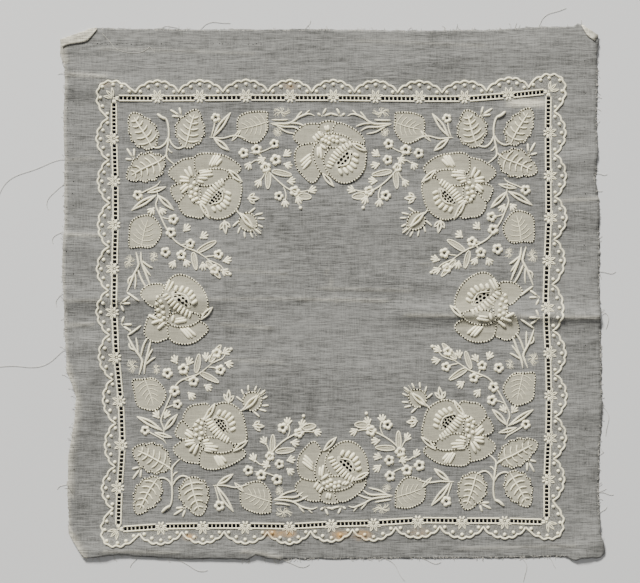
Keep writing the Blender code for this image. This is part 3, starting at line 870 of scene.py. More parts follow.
def pointed_leaf(work, x, y, tip_x, tip_y, radius, stem_x, stem_y):
    """A round leaf with a single pointed corner, and faint darned veins from its stem."""
    centre, stem = np.array([x, y], dtype=float), np.array([stem_x, stem_y], dtype=float)
    heading = math.atan2(tip_y - y, tip_x - x)
    outline = []
    for t in np.linspace(0, 2 * math.pi, 60, endpoint=False):
        off = abs((t - heading + math.pi) % (2 * math.pi) - math.pi)
        reach = radius / math.cos(max(0.0, math.pi / 4 - off)) * (1 + 0.03 * math.cos(5 * t))
        outline.append(centre + reach * toward(t))
    outline = np.array(outline)
    work.layer(outline, 1.0, 0.1)
    work.pin(drawn_in(outline, 0.8), True)
    far = centre + (centre - stem) * 0.62
    along = (far - stem) / np.hypot(*(far - stem))
    across = square_to(along)
    work.cord(smooth_line([stem, centre, far], 1.5), 0.8, True, 0.3)
    for i in range(5):
        foot = stem + (far - stem) * (0.14 + 0.15 * i)
        for side in (1, -1):
            end = foot + along * (4.0 + 0.5 * i) + across * side * radius * (0.72 - 0.09 * i)
            work.cord(smooth_line([foot, (foot + end) / 2 - along * 0.9, end], 1.5), 0.6, True, 0.3)


def small_leaf(work, x0, y0, x1, y1, width):
    """A little leaf of seeding inside a stitched edge."""
    base, along, across, length = leaf_frame(x0, y0, x1, y1)
    outline = []
    for t in np.linspace(0, 2 * math.pi, 20, endpoint=False):
        share = 0.5 - 0.5 * math.cos(t)
        side = math.sin(t) * width * 0.5 * (1.15 - 0.3 * share)
        outline.append(base + along * share * length + across * side)
    outline = np.array(outline)
    work.layer(outline, 1.0, 0.3)
    work.cord(np.vstack([outline, outline[:1]]), 1.15, False)
    work.cord([base + along * 1.0, base + along * length * 0.9], 0.9, True, 0.3)


def three_lobes(work, x0, y0, x1, y1, width):
    """A small leaf of three pointed lobes."""
    base, along, across, length = leaf_frame(x0, y0, x1, y1)
    slip(work, base, base + along * length, 2.2)
    foot = base + along * length * 0.12
    for side in (1, -1):
        slip(work, foot, foot + along * length * 0.5 + across * side * width * 0.75, 1.9)


def bud(work, x, y, heading):
    """A bud of four satin slips fanned from a round calyx."""
    angle = math.radians(heading)
    foot = np.array([x, y]) - 3.6 * toward(angle)
    work.knot(foot, 0.75)
    for turn, reach in ((-34, 6.8), (-10, 8.2), (14, 8.0), (38, 6.6)):
        lean = toward(angle + math.radians(turn))
        work.bar(foot + 0.8 * lean, foot + reach * lean, 2.0)


def fern(work, x, y, half_long, half_wide, rng):
    """Lacy filling: fine threads that fan out, each with two barbs."""
    middle = np.array([x, y], dtype=float)
    for i in range(10):
        angle = 2 * math.pi * i / 10 + rng.uniform(-0.3, 0.3)
        ray = rng.uniform(0.7, 1.1) * toward(angle) * (half_long, half_wide)
        across = square_to(ray)
        work.cord(smooth_line([middle, middle + ray * 0.5 + across * 0.14, middle + ray], 1.2), 0.62)
        for share, side in ((0.45, 1), (0.7, -1)):
            lean = (ray + across * side * 1.1) / np.hypot(*ray)
            work.cord([middle + ray * share, middle + ray * share + lean * 1.9], 0.56)


def moss_bud(work, x, y, heading, rng):
    """A rosebud in its mossy calyx: an applied round, two satin slips through it and spikes about it."""
    round_edge = petal_outline(x, y, 10.4, 9.4, heading, 0.02)
    work.layer(round_edge, 1.0, 0.1)
    round_edge = drawn_in(round_edge, 0.7)
    work.pin(round_edge[4:30])
    work.pin(round_edge[36:62])
    angle = math.radians(heading)
    along = toward(angle)
    across = square_to(along)
    centre = np.array([x, y], dtype=float)
    slip(work, centre - along * 13, centre + along * 8, 2.8, 1.0)
    stalk = [centre - along * 19, centre - along * 12 + across, centre - along * 4]
    work.cord(smooth_line(stalk, 1.5), 1.5, True, 0.5)
    for side in (-3.4, 0.0, 3.2):
        foot, tip = centre + along * 4 + across * side * 0.3, centre + along * 15.5 + across * side
        work.cord([foot, tip], 1.6, True, 0.8)
    for i in range(9):
        ray = toward(angle + math.radians(-132 + 33 * i + rng.uniform(-6, 6)))
        lean = (ray + along * 0.7) / np.hypot(*(ray + along * 0.7))
        foot = centre + ray * 10.2
        work.bar(foot, foot + lean * rng.uniform(5.6, 8.0), 1.9)


def leaves_and_sprays():
    """The upper left quarter's leaves, stems and sprays."""
    rng = np.random.default_rng(SEED + 2)
    work = Stitching()
    for row in SERRATED_LEAVES:
        serrated_leaf(work, *row)
    for row in POINTED_LEAVES:
        pointed_leaf(work, *row)
    for points, width in STEMS + REEDS:
        work.cord(smooth_line(points, 1.6), width * STEM_SWELL)
    for row in FERNS:
        fern(work, *row, rng)
    for row in WILLOW_LEAVES:
        slip(work, row[:2], row[2:4], row[4])
    for row in SMALL_LEAVES:
        (three_lobes if row[4] > LOBED_WIDTH else small_leaf)(work, *row)
    for x, y, tips in TWIGS:
        fork = np.array([x, y])
        for tip in tips:
            run = np.array(tip, dtype=float) - fork
            work.bar(fork + run * 0.3, tip, 2.3)
            work.cord([fork, fork + run * 0.45], 1.2)
    for row in BUDS:
        bud(work, *row)
    for place in BERRIES:
        work.knot(place, 1.1)
    for place in FLOWERS:
        work.flower(place, rng.uniform(0, 1.25))
    moss_bud(work, *MOSS_BUD, rng)
    return quarters(work, SEED + 3)


# Border

def border_station(side, place):
    """A point of the ladder's middle line at a place counted in daisies from 0 to 10, and the way out."""
    rows = np.array(DAISIES[side])
    spot = np.array([np.interp(place, np.arange(len(rows)), rows[:, k]) for k in range(2)])
    return spot, np.array(OUTWARD[side], dtype=float)


def scallop_reach(offset, settings):
    """How far the edge cord stands out, in pixels, at an offset from -0.5 to 0.5 of a scallop."""
    rise = max(0.0, 1 - (2 * offset) ** 2) ** 0.8
    lobes = abs(math.cos(math.pi * offset * 5)) - 0.55
    reach = settings.valley + (settings.peak - settings.valley) * rise
    return reach / PIXEL + 1.7 * lobes * min(1, 4 * rise)


def side_line(side, settings):
    """The scallop cord along one side, from the first valley to the last."""
    points, inner = [], []
    for place in np.linspace(0.5, 9.5, 9 * SCALLOP_STEPS + 1):
        spot, out = border_station(side, place)
        offset = (place + 0.5) % 1 - 0.5
        points.append(spot + out * scallop_reach(offset, settings))
        inner.append(spot + out * settings.ladder_gap / PIXEL)
    return np.array(points), np.array(inner)


def corner_line(side, place, flip_x, flip_y):
    """The scallop that wraps a corner, from one side's valley to the other's."""
    spot, _ = border_station(side, place)
    points = spot + np.array(CORNER_EDGE) * (flip_x, flip_y)
    row = "top" if flip_y > 0 else "bottom"
    valleys = []
    for name, flip in ((row, flip_x), (side, flip_y)):
        at_valley, out = border_station(name, 0.5 if flip > 0 else 9.5)
        valleys.append(at_valley + out * 6.0)
    return smooth_line(np.vstack([valleys[0], points, valleys[1]]), 1.3)


def long_petal(work, spot, ray, reach):
    slip(work, spot + ray * 1.6, spot + ray * reach, 1.3, 1.0)


def short_petal(work, spot, ray, reach):
    work.bar(spot + ray * 1.4, spot + ray * reach, 2.1, 0.9)


def daisy(work, spot, out):
    """Long petals fan outwards over the scallop, short ones lie along and inside the ladder."""
    base = math.atan2(out[1], out[0])
    for turn in DAISY_LONG:
        long_petal(work, spot, toward(base + math.radians(turn)), 9.4 - abs(turn) * 0.022)
    for turn, reach in DAISY_SHORT:
        short_petal(work, spot, toward(base + math.radians(turn)), reach)
    work.knot(spot, 0.55)


def border(settings):
    """The scallops with their ground, beads and daisies, side by side and then round the corners."""
    work = Stitching()
    cord = 2 * settings.cord / PIXEL
    for side in DAISIES:
        edge, inner = side_line(side, settings)
        work.cord(edge, cord, False, 0.2)
        for i in range(9):
            part = slice(i * SCALLOP_STEPS, (i + 1) * SCALLOP_STEPS + 1)
            work.layer(np.vstack([edge[part], inner[part][::-1]]), 0.8, GROUND_SHADE)
        for i in range(1, 10):
            daisy(work, *border_station(side, i))
            for offset, reach in BEADS:
                place, out = border_station(side, i + offset)
                work.knot(place + out * reach, BEAD_SIZE)
        ladder(work, side, settings)
    for side, place, flip_x, flip_y in CORNERS:
        spot, _ = border_station(side, place)
        flip = np.array([flip_x, flip_y])
        line = corner_line(side, place, flip_x, flip_y)
        work.cord(line, cord, False, 0.2)
        work.layer(np.vstack([line, spot - flip]), 0.8, GROUND_SHADE)
        for bead in CORNER_BEADS:
            work.knot(spot + bead * flip, BEAD_SIZE)
        for turn in CORNER_LONG:
            long_petal(work, spot, toward(math.radians(turn)) * flip, 10.6)
        for turn in CORNER_SHORT:
            short_petal(work, spot, toward(math.radians(turn)) * flip, 5.2)
        work.knot(spot, 0.6)
    return work


def ladder(work, side, settings):
    """Two cords with a row of eyelets between them, broken at each daisy."""
    gap = settings.ladder_gap / PIXEL
    width = 2 * settings.ladder_cord / PIXEL
    for i in range(10):
        start, out = border_station(side, i)
        end, _ = border_station(side, i + 1)
        run = end - start
        along = run / np.hypot(*run)
        first, last = start + along * DAISY_ROOM, end - along * DAISY_ROOM
        for sign in (-1, 1):
            off = out * gap * sign
            line = smooth_line([first + off, (first + last) / 2 + off, last + off], 2.2)
            work.cord(line, width, False, 0.3)
        for k in range(settings.eyelets):
            place = first + (last - first) * (k + 0.5) / settings.eyelets
            work.hole(place, 1.0, math.atan2(run[1], run[0]), 0.92)
            if k:
                bar = first + (last - first) * (k / settings.eyelets)
                work.cord([bar - out * gap, bar + out * gap], 0.8, False, 0.1)


def applied_height(layers, points):
    """How high applied layers stand over the lawn at pixels of the photograph, in metres."""
    height = np.zeros(len(points))
    for outline, level, _ in layers:
        near = np.all((points > outline.min(axis=0)) & (points < outline.max(axis=0)), axis=1)
        if near.any():
            height[near] = np.maximum(height[near], level * inside(points[near], outline))
    return height * bpy.context.scene.hk_stitch.layer


def drawn_in(outline, by):
    """An outline moved in towards its middle by so many pixels."""
    middle = outline.mean(axis=0)
    rays = outline - middle
    return middle + rays * (1 - by / np.linalg.norm(rays, axis=1))[:, None]


# Building meshes

def mesh_object(name, vertices, edges=(), faces=()):
    """An object of the scene with a mesh of its own."""
    mesh = bpy.data.meshes.new(name)
    mesh.from_pydata(np.asarray(vertices).tolist(), edges, faces)
    mesh.update()
    obj = bpy.data.objects.new(name, mesh)
    bpy.context.scene.collection.objects.link(obj)
    return obj


def attribute(obj, name, kind, values):
    """Stores one value or one vector on each vertex."""
    layer = obj.data.attributes.new(name, kind, "POINT")
    layer.data.foreach_set("vector" if kind == "FLOAT_VECTOR" else "value", np.ravel(values).astype(float))


def shade_smooth(mesh):
    mesh.polygons.foreach_set("use_smooth", [True] * len(mesh.polygons))


def keep_over(obj, on_lawn):
    """Keeps stitches from reaching through the lawn, and the lawn and its threads from the floor."""
    spots = np.empty(len(obj.data.vertices) * 3)
    obj.data.vertices.foreach_get("co", spots)
    spots = spots.reshape(-1, 3)
    low = lift(spots[:, 0], spots[:, 1]) + STITCH_GAP if on_lawn else THREAD_GAP
    spots[:, 2] = np.maximum(spots[:, 2], low)
    obj.data.vertices.foreach_set("co", spots.ravel())
    obj.data.update()


def finished(obj):
    """Turns an object's modifiers into its plain mesh."""
    graph = bpy.context.evaluated_depsgraph_get()
    made = obj.evaluated_get(graph)
    mesh = bpy.data.meshes.new_from_object(made, preserve_all_data_layers=True, depsgraph=graph)
    old = obj.data
    obj.modifiers.clear()
    obj.data = mesh
    mesh.name = obj.name
    bpy.data.meshes.remove(old)
    shade_smooth(mesh)
    return obj


def with_nodes(obj, tree, values):
    """Runs a Geometry Nodes tree on an object, each input set by its socket's identifier."""
    modifier = obj.modifiers.new(tree.name, "NODES")
    modifier.node_group = tree
    for item in tree.interface.items_tree:
        if item.item_type == "SOCKET" and item.in_out == "INPUT" and item.name in values:
            modifier[item.identifier] = values[item.name]
    return finished(obj)


def with_form(obj, tree, maker, values):
    """Runs a tree that sets a stitch's form on points, with the form kept out of the scene."""
    vertices, faces = maker()
    mesh = bpy.data.meshes.new("form")
    mesh.from_pydata(vertices, [], faces)
    shade_smooth(mesh)
    form = bpy.data.objects.new("form", mesh)
    with_nodes(obj, tree, {"Form": form, **values})
    bpy.data.objects.remove(form)
    bpy.data.meshes.remove(mesh)
    return obj


def add_node(tree, kind, inputs=None, **facts):
    """A node with its facts set first, then each input set to a value or joined to another node's output."""
    node = tree.nodes.new(kind)
    for name, value in facts.items():
        setattr(node, name, value)
    for key, value in (inputs or {}).items():
        if isinstance(value, bpy.types.NodeSocket):
            tree.links.new(value, node.inputs[key])
        else:
            node.inputs[key].default_value = value
    return node


def node_tree(name, sockets):
    """A Geometry Nodes tree with named inputs, and the sockets that hand them on."""
    tree = bpy.data.node_groups.new(name, "GeometryNodeTree")
    tree.is_modifier = True
    first, last = ("Geometry", "NodeSocketGeometry", None), ("Material", "NodeSocketMaterial", None)
    for label, kind, value in (first, *sockets, last):
        socket = tree.interface.new_socket(label, in_out="INPUT", socket_type=kind)
        if value is not None:
            socket.default_value = value
    tree.interface.new_socket("Geometry", in_out="OUTPUT", socket_type="NodeSocketGeometry")
    return tree, tree.nodes.new("NodeGroupInput").outputs


def named(tree, name, kind="FLOAT"):
    node = add_node(tree, "GeometryNodeInputNamedAttribute", {"Name": name}, data_type=kind)
    return node.outputs["Attribute"]


def finish_tree(tree, geometry, given):
    """Every tree ends in realized instances and a material."""
    realize = add_node(tree, "GeometryNodeRealizeInstances", {"Geometry": geometry})
    paint = {"Geometry": realize.outputs["Geometry"], "Material": given["Material"]}
    painted = add_node(tree, "GeometryNodeSetMaterial", paint)
    add_node(tree, "NodeGroupOutput", {"Geometry": painted.outputs["Geometry"]})
    return tree


@cache
def cord_tree():
    """Round thread along drawn lines, with a half width at each point and its length kept for the ribs."""
    tree, given = node_tree(
        "Cords along lines", (("Sides", "NodeSocketInt", 8), ("Flatness", "NodeSocketFloat", 0.7))
    )
    curve = add_node(tree, "GeometryNodeMeshToCurve", {"Mesh": given["Geometry"]})
    upright = add_node(tree, "GeometryNodeSetCurveNormal", {"Curve": curve.outputs["Curve"]}, mode="Z_UP")
    spline = add_node(tree, "GeometryNodeSplineParameter")
    along = {"Geometry": upright.outputs["Curve"], "Name": "along", "Value": spline.outputs["Length"]}
    line = add_node(tree, "GeometryNodeStoreNamedAttribute", along, data_type="FLOAT")
    circle = add_node(tree, "GeometryNodeCurvePrimitiveCircle", {"Resolution": given["Sides"], "Radius": 1.0})
    squash = add_node(tree, "ShaderNodeCombineXYZ", {"X": 1.0, "Y": given["Flatness"], "Z": 1.0})
    flatten = {"Geometry": circle.outputs["Curve"], "Scale": squash.outputs["Vector"]}
    profile = add_node(tree, "GeometryNodeTransform", flatten)
    skin = add_node(tree, "GeometryNodeCurveToMesh", {
        "Curve": line.outputs["Geometry"],
        "Profile Curve": profile.outputs["Geometry"],
        "Scale": named(tree, "half_width"),
        "Fill Caps": True,
    })
    return finish_tree(tree, skin.outputs["Mesh"], given)


@cache
def scatter_tree():
    """One form set on every point, with the point's own turn and size."""
    tree, given = node_tree("Stitches on points", (("Form", "NodeSocketObject", None),))
    form = add_node(tree, "GeometryNodeObjectInfo", {"Object": given["Form"]})
    turn = add_node(tree, "ShaderNodeCombineXYZ", {"Z": named(tree, "turn")})
    placed = add_node(tree, "GeometryNodeInstanceOnPoints", {
        "Points": given["Geometry"],
        "Instance": form.outputs["Geometry"],
        "Rotation": turn.outputs["Vector"],
        "Scale": named(tree, "size", "FLOAT_VECTOR"),
    })
    return finish_tree(tree, placed.outputs["Instances"], given)


@cache
def pin_tree():
    """Small holes pricked at an even pitch along drawn lines, each a little different."""
    largest = 1.15
    tree, given = node_tree("Pin stitch holes", (
        ("Form", "NodeSocketObject", None),
        ("Pitch", "NodeSocketFloat", 0.002),
        ("Radius", "NodeSocketFloat", 0.0005),
        ("Unevenness", "NodeSocketFloat", 0.3),
        ("Seed", "NodeSocketInt", SEED),
    ))
    curve = add_node(tree, "GeometryNodeMeshToCurve", {"Mesh": given["Geometry"]})
    pitch = {"Curve": curve.outputs["Curve"], "Length": given["Pitch"]}
    spots = add_node(tree, "GeometryNodeResampleCurve", pitch, mode="LENGTH")
    form = add_node(tree, "GeometryNodeObjectInfo", {"Object": given["Form"]})
    least = add_node(tree, "ShaderNodeMath", {0: largest, 1: given["Unevenness"]}, operation="SUBTRACT")
    reach = {"Min": least.outputs["Value"], "Max": largest, "Seed": given["Seed"]}
    chance = add_node(tree, "FunctionNodeRandomValue", reach, data_type="FLOAT")
    size = {0: chance.outputs["Value"], 1: given["Radius"]}
    size = add_node(tree, "ShaderNodeMath", size, operation="MULTIPLY")
    placed = add_node(tree, "GeometryNodeInstanceOnPoints", {
        "Points": spots.outputs["Curve"], "Instance": form.outputs["Geometry"], "Scale": size.outputs["Value"]
    })
    return finish_tree(tree, placed.outputs["Instances"], given)


def ring(sides, height, radius=1.0):
    """A level ring of points about the upright axis."""
    turns = [2 * math.pi * k / sides for k in range(sides)]
    return [(radius * math.cos(turn), radius * math.sin(turn), height) for turn in turns]


def joined_rings(rings, sides, first=0):
    """Faces that join each ring of vertices to the next one, all the way round."""
    faces = []
    for row in range(rings - 1):
        for k in range(sides):
            a, b = first + row * sides + k, first + row * sides + (k + 1) % sides
            faces.append((a, b, b + sides, a + sides))
    return faces


def fan(top, first, sides):
    """Triangles from one vertex to a ring."""
    return [(top, first + k, first + (k + 1) % sides) for k in range(sides)]


def turned(faces):
    """The same faces, seen from their other side."""
    return [face[:1] + face[:0:-1] for face in faces]


def unit_bar():
    """A padded satin bar from -1 to 1 along x and y and up to 1, rounded at its ends."""
    # Place along the bar, width and height there
    half = ((-1.0, 0.30, 0.30), (-0.86, 0.74, 0.72), (-0.5, 0.97, 0.96), (0.0, 1.0, 1.0))
    stations = half + tuple((-x, wide, tall) for x, wide, tall in half[2::-1])
    arc = [math.pi * k / 5 for k in range(6)]
    vertices = [(x, wide * math.cos(a), tall * math.sin(a)) for x, wide, tall in stations for a in arc]
    first_end = tuple(reversed(range(len(arc))))
    last_end = tuple(range(len(vertices) - len(arc), len(vertices)))
    return vertices, joined_rings(len(stations), len(arc)) + [first_end, last_end]


def unit_knot():
    """A round knot: a dome of radius 1."""
    sides, rings = 8, ((0.45, 0.9), (0.8, 0.6), (0.98, 0.2), (1.0, -0.1))
    vertices = [(0.0, 0.0, 1.0)]
    for radius, height in rings:
        vertices += ring(sides, height, radius)
    under = tuple(reversed(range(len(vertices) - sides, len(vertices))))
    return vertices, fan(0, 1, sides) + turned(joined_rings(len(rings), sides, 1)) + [under]


def unit_hole():
    """A small dished disc of radius 1, which carries the painted shade of a hole."""
    sides, rim, under = 10, 0.06, -0.1
    vertices = [(0.0, 0.0, 0.0), *ring(sides, rim), *ring(sides, under), (0.0, 0.0, under)]
    faces = fan(0, 1, sides) + turned(joined_rings(2, sides, 1) + fan(len(vertices) - 1, 1 + sides, sides))
    return vertices, faces


def unit_flower():
    """Five padded petals round an eyelet: a ring of radius 1 whose edge is drawn in between the petals."""
    sides, rows = 30, ((0.30, 0.0), (0.36, 0.22), (0.58, 0.42), (0.84, 0.30), (1.0, 0.0))
    vertices = []
    for share, height in rows:
        for k in range(sides):
            angle = 2 * math.pi * k / sides
            petal = abs(math.cos(2.5 * angle))
            reach = share * (0.76 + 0.24 * petal**0.6) if share > 0.5 else share
            rise = height * (0.62 + 0.38 * petal)
            vertices.append((reach * math.cos(angle), reach * math.sin(angle), rise))
    last = len(vertices) - sides
    under = [(last + k, k, (k + 1) % sides, last + (k + 1) % sides) for k in range(sides)]
    return vertices, turned(joined_rings(len(rows), sides)) + under


def draped(points, rise):
    """Metres with height, for pixels of the photograph, a little above the lawn's face."""
    flat = world(points)
    return np.column_stack([flat, face_height(flat[:, 0], flat[:, 1]) + rise])


def scatter(name, maker, places, turns, sizes, material):
    """One form on each place, turned about the upright axis."""
    obj = mesh_object(name, places)
    attribute(obj, "turn", "FLOAT", turns)
    attribute(obj, "size", "FLOAT_VECTOR", sizes)
    return with_form(obj, scatter_tree(), maker, {"Material": material})


def build_bars(name, bars, layers, material):
    """Padded satin bars, each as high as the highest layer under it."""
    ends = np.array([row[0] for row in bars])
    raised = [applied_height(layers, spots) for spots in (ends[:, 0], ends.mean(axis=1), ends[:, 1])]
    starts, stops = world(ends[:, 0]), world(ends[:, 1])
    run = stops - starts
    middle = (starts + stops) / 2
    widths = np.array([row[1] for row in bars]) * PIXEL
    tall = np.array([row[2] for row in bars]) * bpy.context.scene.hk_stitch.relief
    sizes = np.column_stack([np.hypot(run[:, 0], run[:, 1]) / 2, widths / 2, widths * tall])
    height = face_height(middle[:, 0], middle[:, 1]) + np.max(raised, axis=0)
    turns = np.arctan2(run[:, 1], run[:, 0])
    return scatter(name, unit_bar, np.column_stack([middle, height]), turns, sizes, material)


def build_knots(name, knots, layers, radius, material):
    """Seed knots and beads, each a little uneven."""
    spots = np.vstack([row[0] for row in knots])
    scale = np.array([row[1] for row in knots]) * radius
    rng = np.random.default_rng(SEED + len(knots))
    sizes = np.column_stack([scale * rng.uniform(0.92, 1.1, len(spots)), scale, scale * 0.95])
    turns = rng.uniform(0, math.pi, len(spots))
    return scatter(name, unit_knot, draped(spots, applied_height(layers, spots)), turns, sizes, material)


def build_holes(name, holes, layers, radius, rise):
    """Dished discs of painted shade that stand for holes, drawn out along the heading that each one has."""
    ends = np.array([row[0] for row in holes])
    run = world(ends[:, 1]) - world(ends[:, 0])
    rng = np.random.default_rng(SEED + len(holes))
    scale = np.array([row[1] for row in holes]) * radius * rng.uniform(0.88, 1.12, len(holes))
    stretch = np.array([row[2] for row in holes])
    sizes = np.column_stack([scale * stretch, scale / np.sqrt(stretch), np.full(len(scale), HOLE_DEPTH)])
    places = draped(ends[:, 0], applied_height(layers, ends[:, 0]) + rise)
    return scatter(name, unit_hole, places, np.arctan2(run[:, 1], run[:, 0]), sizes, hole_shade_material())


def build_flowers(name, flowers, radius, material):
    """Small eyelet flowers on the bare lawn."""
    rng = np.random.default_rng(SEED + 5)
    scale = radius * rng.uniform(0.9, 1.08, len(flowers))
    sizes = np.column_stack([scale, scale, scale * 0.85])
    places = draped(np.vstack([row[0] for row in flowers]), 0.0)
    return scatter(name, unit_flower, places, np.array([row[1] for row in flowers]), sizes, material)


def lines_object(name, lines):
    """One mesh of open and closed lines, each a list of points with a half width."""
    vertices, edges, widths = [], [], []
    for points, half_widths, closed in lines:
        first = len(vertices)
        vertices += [tuple(p) for p in points]
        widths += list(half_widths)
        edges += [(first + i, first + i + 1) for i in range(len(points) - 1)]
        if closed:
            edges.append((first + len(points) - 1, first))
    obj = mesh_object(name, vertices, edges)
    attribute(obj, "half_width", "FLOAT", widths)
    return obj


def taper(count, ends=0.35):
    """Full width along a cord, drawn in at its two ends."""
    place = np.linspace(0, 1, count)
    return ends + (1 - ends) * np.minimum(1, np.minimum(place, 1 - place) * 5) ** 0.7


def build_cords(name, cords, layers, flatness=1.0, sides=7):
    """Corded lines, sunk a little into what they lie on."""
    lines, first = [], 0
    raised = applied_height(layers, np.vstack([row[0] for row in cords]))
    for points, width, tapered, over in cords:
        half = np.full(len(points), width * PIXEL / 2) * (taper(len(points)) if tapered else 1)
        rise = raised[first : first + len(points)] + half * 0.45 * flatness + over * OVER_STEP
        first += len(points)
        lines.append((draped(points, rise), half, False))
    values = {"Sides": sides, "Flatness": flatness, "Material": cord_material()}
    return with_nodes(lines_object(name, lines), cord_tree(), values)


def build_pins(name, pins, layers, rise):
    """The holes of pin stitching, pricked along its lines, as discs of painted shade."""
    settings = bpy.context.scene.hk_stitch
    lines = []
    for points, closed in pins:
        lines.append((draped(points, applied_height(layers, points) + rise), np.ones(len(points)), closed))
    sizes = {"Pitch": settings.pin_pitch, "Radius": settings.pin_hole, "Seed": SEED}
    values = {"Material": hole_shade_material(), **sizes}
    return with_form(lines_object(name, lines), pin_tree(), unit_hole, values)


def build_layers(name, layers):
    """Applied lawn: each outline filled by rings drawn in towards its middle, its rim turned under."""
    thickness = bpy.context.scene.hk_stitch.layer
    vertices, faces, shades = [], [], []
    for outline, level, shade in layers:
        middle, count, first = outline.mean(axis=0), len(outline), len(vertices)
        for share, height in LAYER_RINGS:
            vertices += draped(middle + (outline - middle) * share, (level - 1 + height) * thickness).tolist()
        for height in (LAYER_RINGS[-1][1], LAYER_RINGS[0][1]):
            vertices += draped([middle], (level - 1 + height) * thickness).tolist()
        under = len(vertices) - 1
        shades += [shade] * (len(vertices) - first)
        own = joined_rings(len(LAYER_RINGS), count, first)
        own += fan(under - 1, under - 1 - count, count) + turned(fan(under, first, count))
        flat = world(outline)
        area = np.sum(flat[:, 0] * np.roll(flat[:, 1], -1) - np.roll(flat[:, 0], -1) * flat[:, 1])
        faces += own if area > 0 else turned(own)
    obj = mesh_object(name, vertices, [], faces)
    attribute(obj, "shade", "FLOAT", shades)
    obj.data.materials.append(applied_material())
    shade_smooth(obj.data)
    return obj


# Materials

def shader(name, roughness, specular=0.25, sheen=0.0):
    """A new material, its node tree and its main shader's inputs."""
    material = bpy.data.materials.new(name)
    material.use_nodes = True
    inputs = material.node_tree.nodes["Principled BSDF"].inputs
    inputs["Roughness"].default_value = roughness
    inputs["Specular IOR Level"].default_value = specular
    inputs["Sheen Weight"].default_value = sheen
    return material, material.node_tree, inputs


def noise(tree, scale, stretch=(1, 1, 1), detail=2.0):
    """Noise on Object coordinates, drawn out by a stretch along each axis."""
    place = add_node(tree, "ShaderNodeTexCoord").outputs["Object"]
    mapping = add_node(tree, "ShaderNodeMapping", {"Scale": stretch, "Vector": place})
    facts = {"Scale": scale, "Detail": detail, "Vector": mapping.outputs["Vector"]}
    return add_node(tree, "ShaderNodeTexNoise", facts).outputs["Fac"]


def spread(tree, value, low, high, out_low, out_high):
    """A value's range carried over to another range, and held inside it."""
    ends = {"Value": value, "From Min": low, "From Max": high, "To Min": out_low, "To Max": out_high}
    return add_node(tree, "ShaderNodeMapRange", ends).outputs["Result"]


def reckon(tree, operation, *values):
    """A sum or product of any number of values and sockets."""
    total = values[0]
    for value in values[1:]:
        total = add_node(tree, "ShaderNodeMath", {0: total, 1: value}, operation=operation).outputs["Value"]
    return total


def mix(tree, factor, first, second, blend="MIX"):
    """Two colours, each a socket or three numbers, mixed by a factor."""
    inputs = {"Factor": factor}
    for slot, colour in ((6, first), (7, second)):
        inputs[slot] = colour if isinstance(colour, bpy.types.NodeSocket) else (*colour, 1.0)
    return add_node(tree, "ShaderNodeMix", inputs, data_type="RGBA", blend_type=blend).outputs[2]


def shaded(tree, colour, value):
    """A colour made darker or lighter by a value."""
    grey = add_node(tree, "ShaderNodeCombineColor", {"Red": value, "Green": value, "Blue": value})
    return mix(tree, 1.0, colour, grey.outputs["Color"], "MULTIPLY")


def patchy(tree, colour, scale, low, high, detail=2.0):
    """A colour in darker and lighter patches."""
    return shaded(tree, colour, spread(tree, noise(tree, scale, detail=detail), 0.3, 0.7, low, high))


def stain_mask(tree):
    """How strongly the old stains tint a place, from its Object coordinates."""
    place = add_node(tree, "ShaderNodeTexCoord").outputs["Object"]
    spots = []
    for x, y, reach, strength in STAINS:
        middle = (*world([(x, y)])[0], 0.0)
        offset = add_node(tree, "ShaderNodeVectorMath", {0: place, 1: middle}, operation="SUBTRACT")
        flat = {0: offset.outputs["Vector"], 1: STAIN_STRETCH}
        flat = add_node(tree, "ShaderNodeVectorMath", flat, operation="MULTIPLY")
        size = add_node(tree, "ShaderNodeVectorMath", {0: flat.outputs["Vector"]}, operation="LENGTH")
        spots.append(spread(tree, size.outputs["Value"], 0.0, reach * PIXEL, strength, 0.0))
    ragged_edge = spread(tree, noise(tree, 260.0, detail=3.0), 0.35, 0.65, 0.35, 1.25)
    return reckon(tree, "MULTIPLY", reckon(tree, "ADD", *spots), ragged_edge)


def stained(tree, colour, inputs, strength=1.0):
    """Sets a shader's colour, with the old stains over it."""
    mask = stain_mask(tree)
    if strength < 1.0:
        mask = reckon(tree, "MULTIPLY", mask, strength)
    colour = mix(tree, mask, colour, bpy.context.scene.hk_stitch.stain_colour)
    tree.links.new(colour, inputs["Base Color"])


def add_bump(tree, inputs, height, strength, distance):
    values = {"Strength": strength, "Distance": distance, "Height": height}
    bump = add_node(tree, "ShaderNodeBump", values)
    tree.links.new(bump.outputs["Normal"], inputs["Normal"])


def weave_bump(tree, inputs):
    """Uneven weft across and finer warp up the cloth."""
    weft = noise(tree, 1.0, (70, 2600, 1))
    warp = noise(tree, 1.0, (2600, 90, 1))
    add_bump(tree, inputs, reckon(tree, "ADD", weft, warp), 0.35, 0.0003)


def slub_shade(tree, strength):
    """Slow and fine streaks along the weft, a few across it, and bright slubs."""
    streaks = []
    for scale, stretch, detail, low, high, dark, light in YARN_STREAKS:
        streaks.append(spread(tree, noise(tree, scale, stretch, detail), low, high, dark, light))
    return spread(tree, reckon(tree, "ADD", *streaks), -1.0, 1.0, 1 - strength, 1 + strength)


def stored(tree, name):
    return add_node(tree, "ShaderNodeAttribute", attribute_name=name).outputs["Fac"]


@cache
def lawn_material():
    """Sheer lawn with slubs, paler where it is doubled, in bands at its edges, and in painted highlights
    along its creases.
    """
    settings = bpy.context.scene.hk_cloth
    material, tree, inputs = shader("lawn", 0.85, sheen=0.15)
    # Doubled cloth, the edge bands and the painted crease highlights take the paler colour
    base = mix(tree, stored(tree, "dense"), settings.colour, settings.doubled_and_highlight_colour)
    stained(tree, shaded(tree, base, slub_shade(tree, settings.streaks)), inputs, 0.5)
    inputs["Alpha"].default_value = settings.opacity
    inputs["Sheen Roughness"].default_value = 0.5
    weave_bump(tree, inputs)
    return material


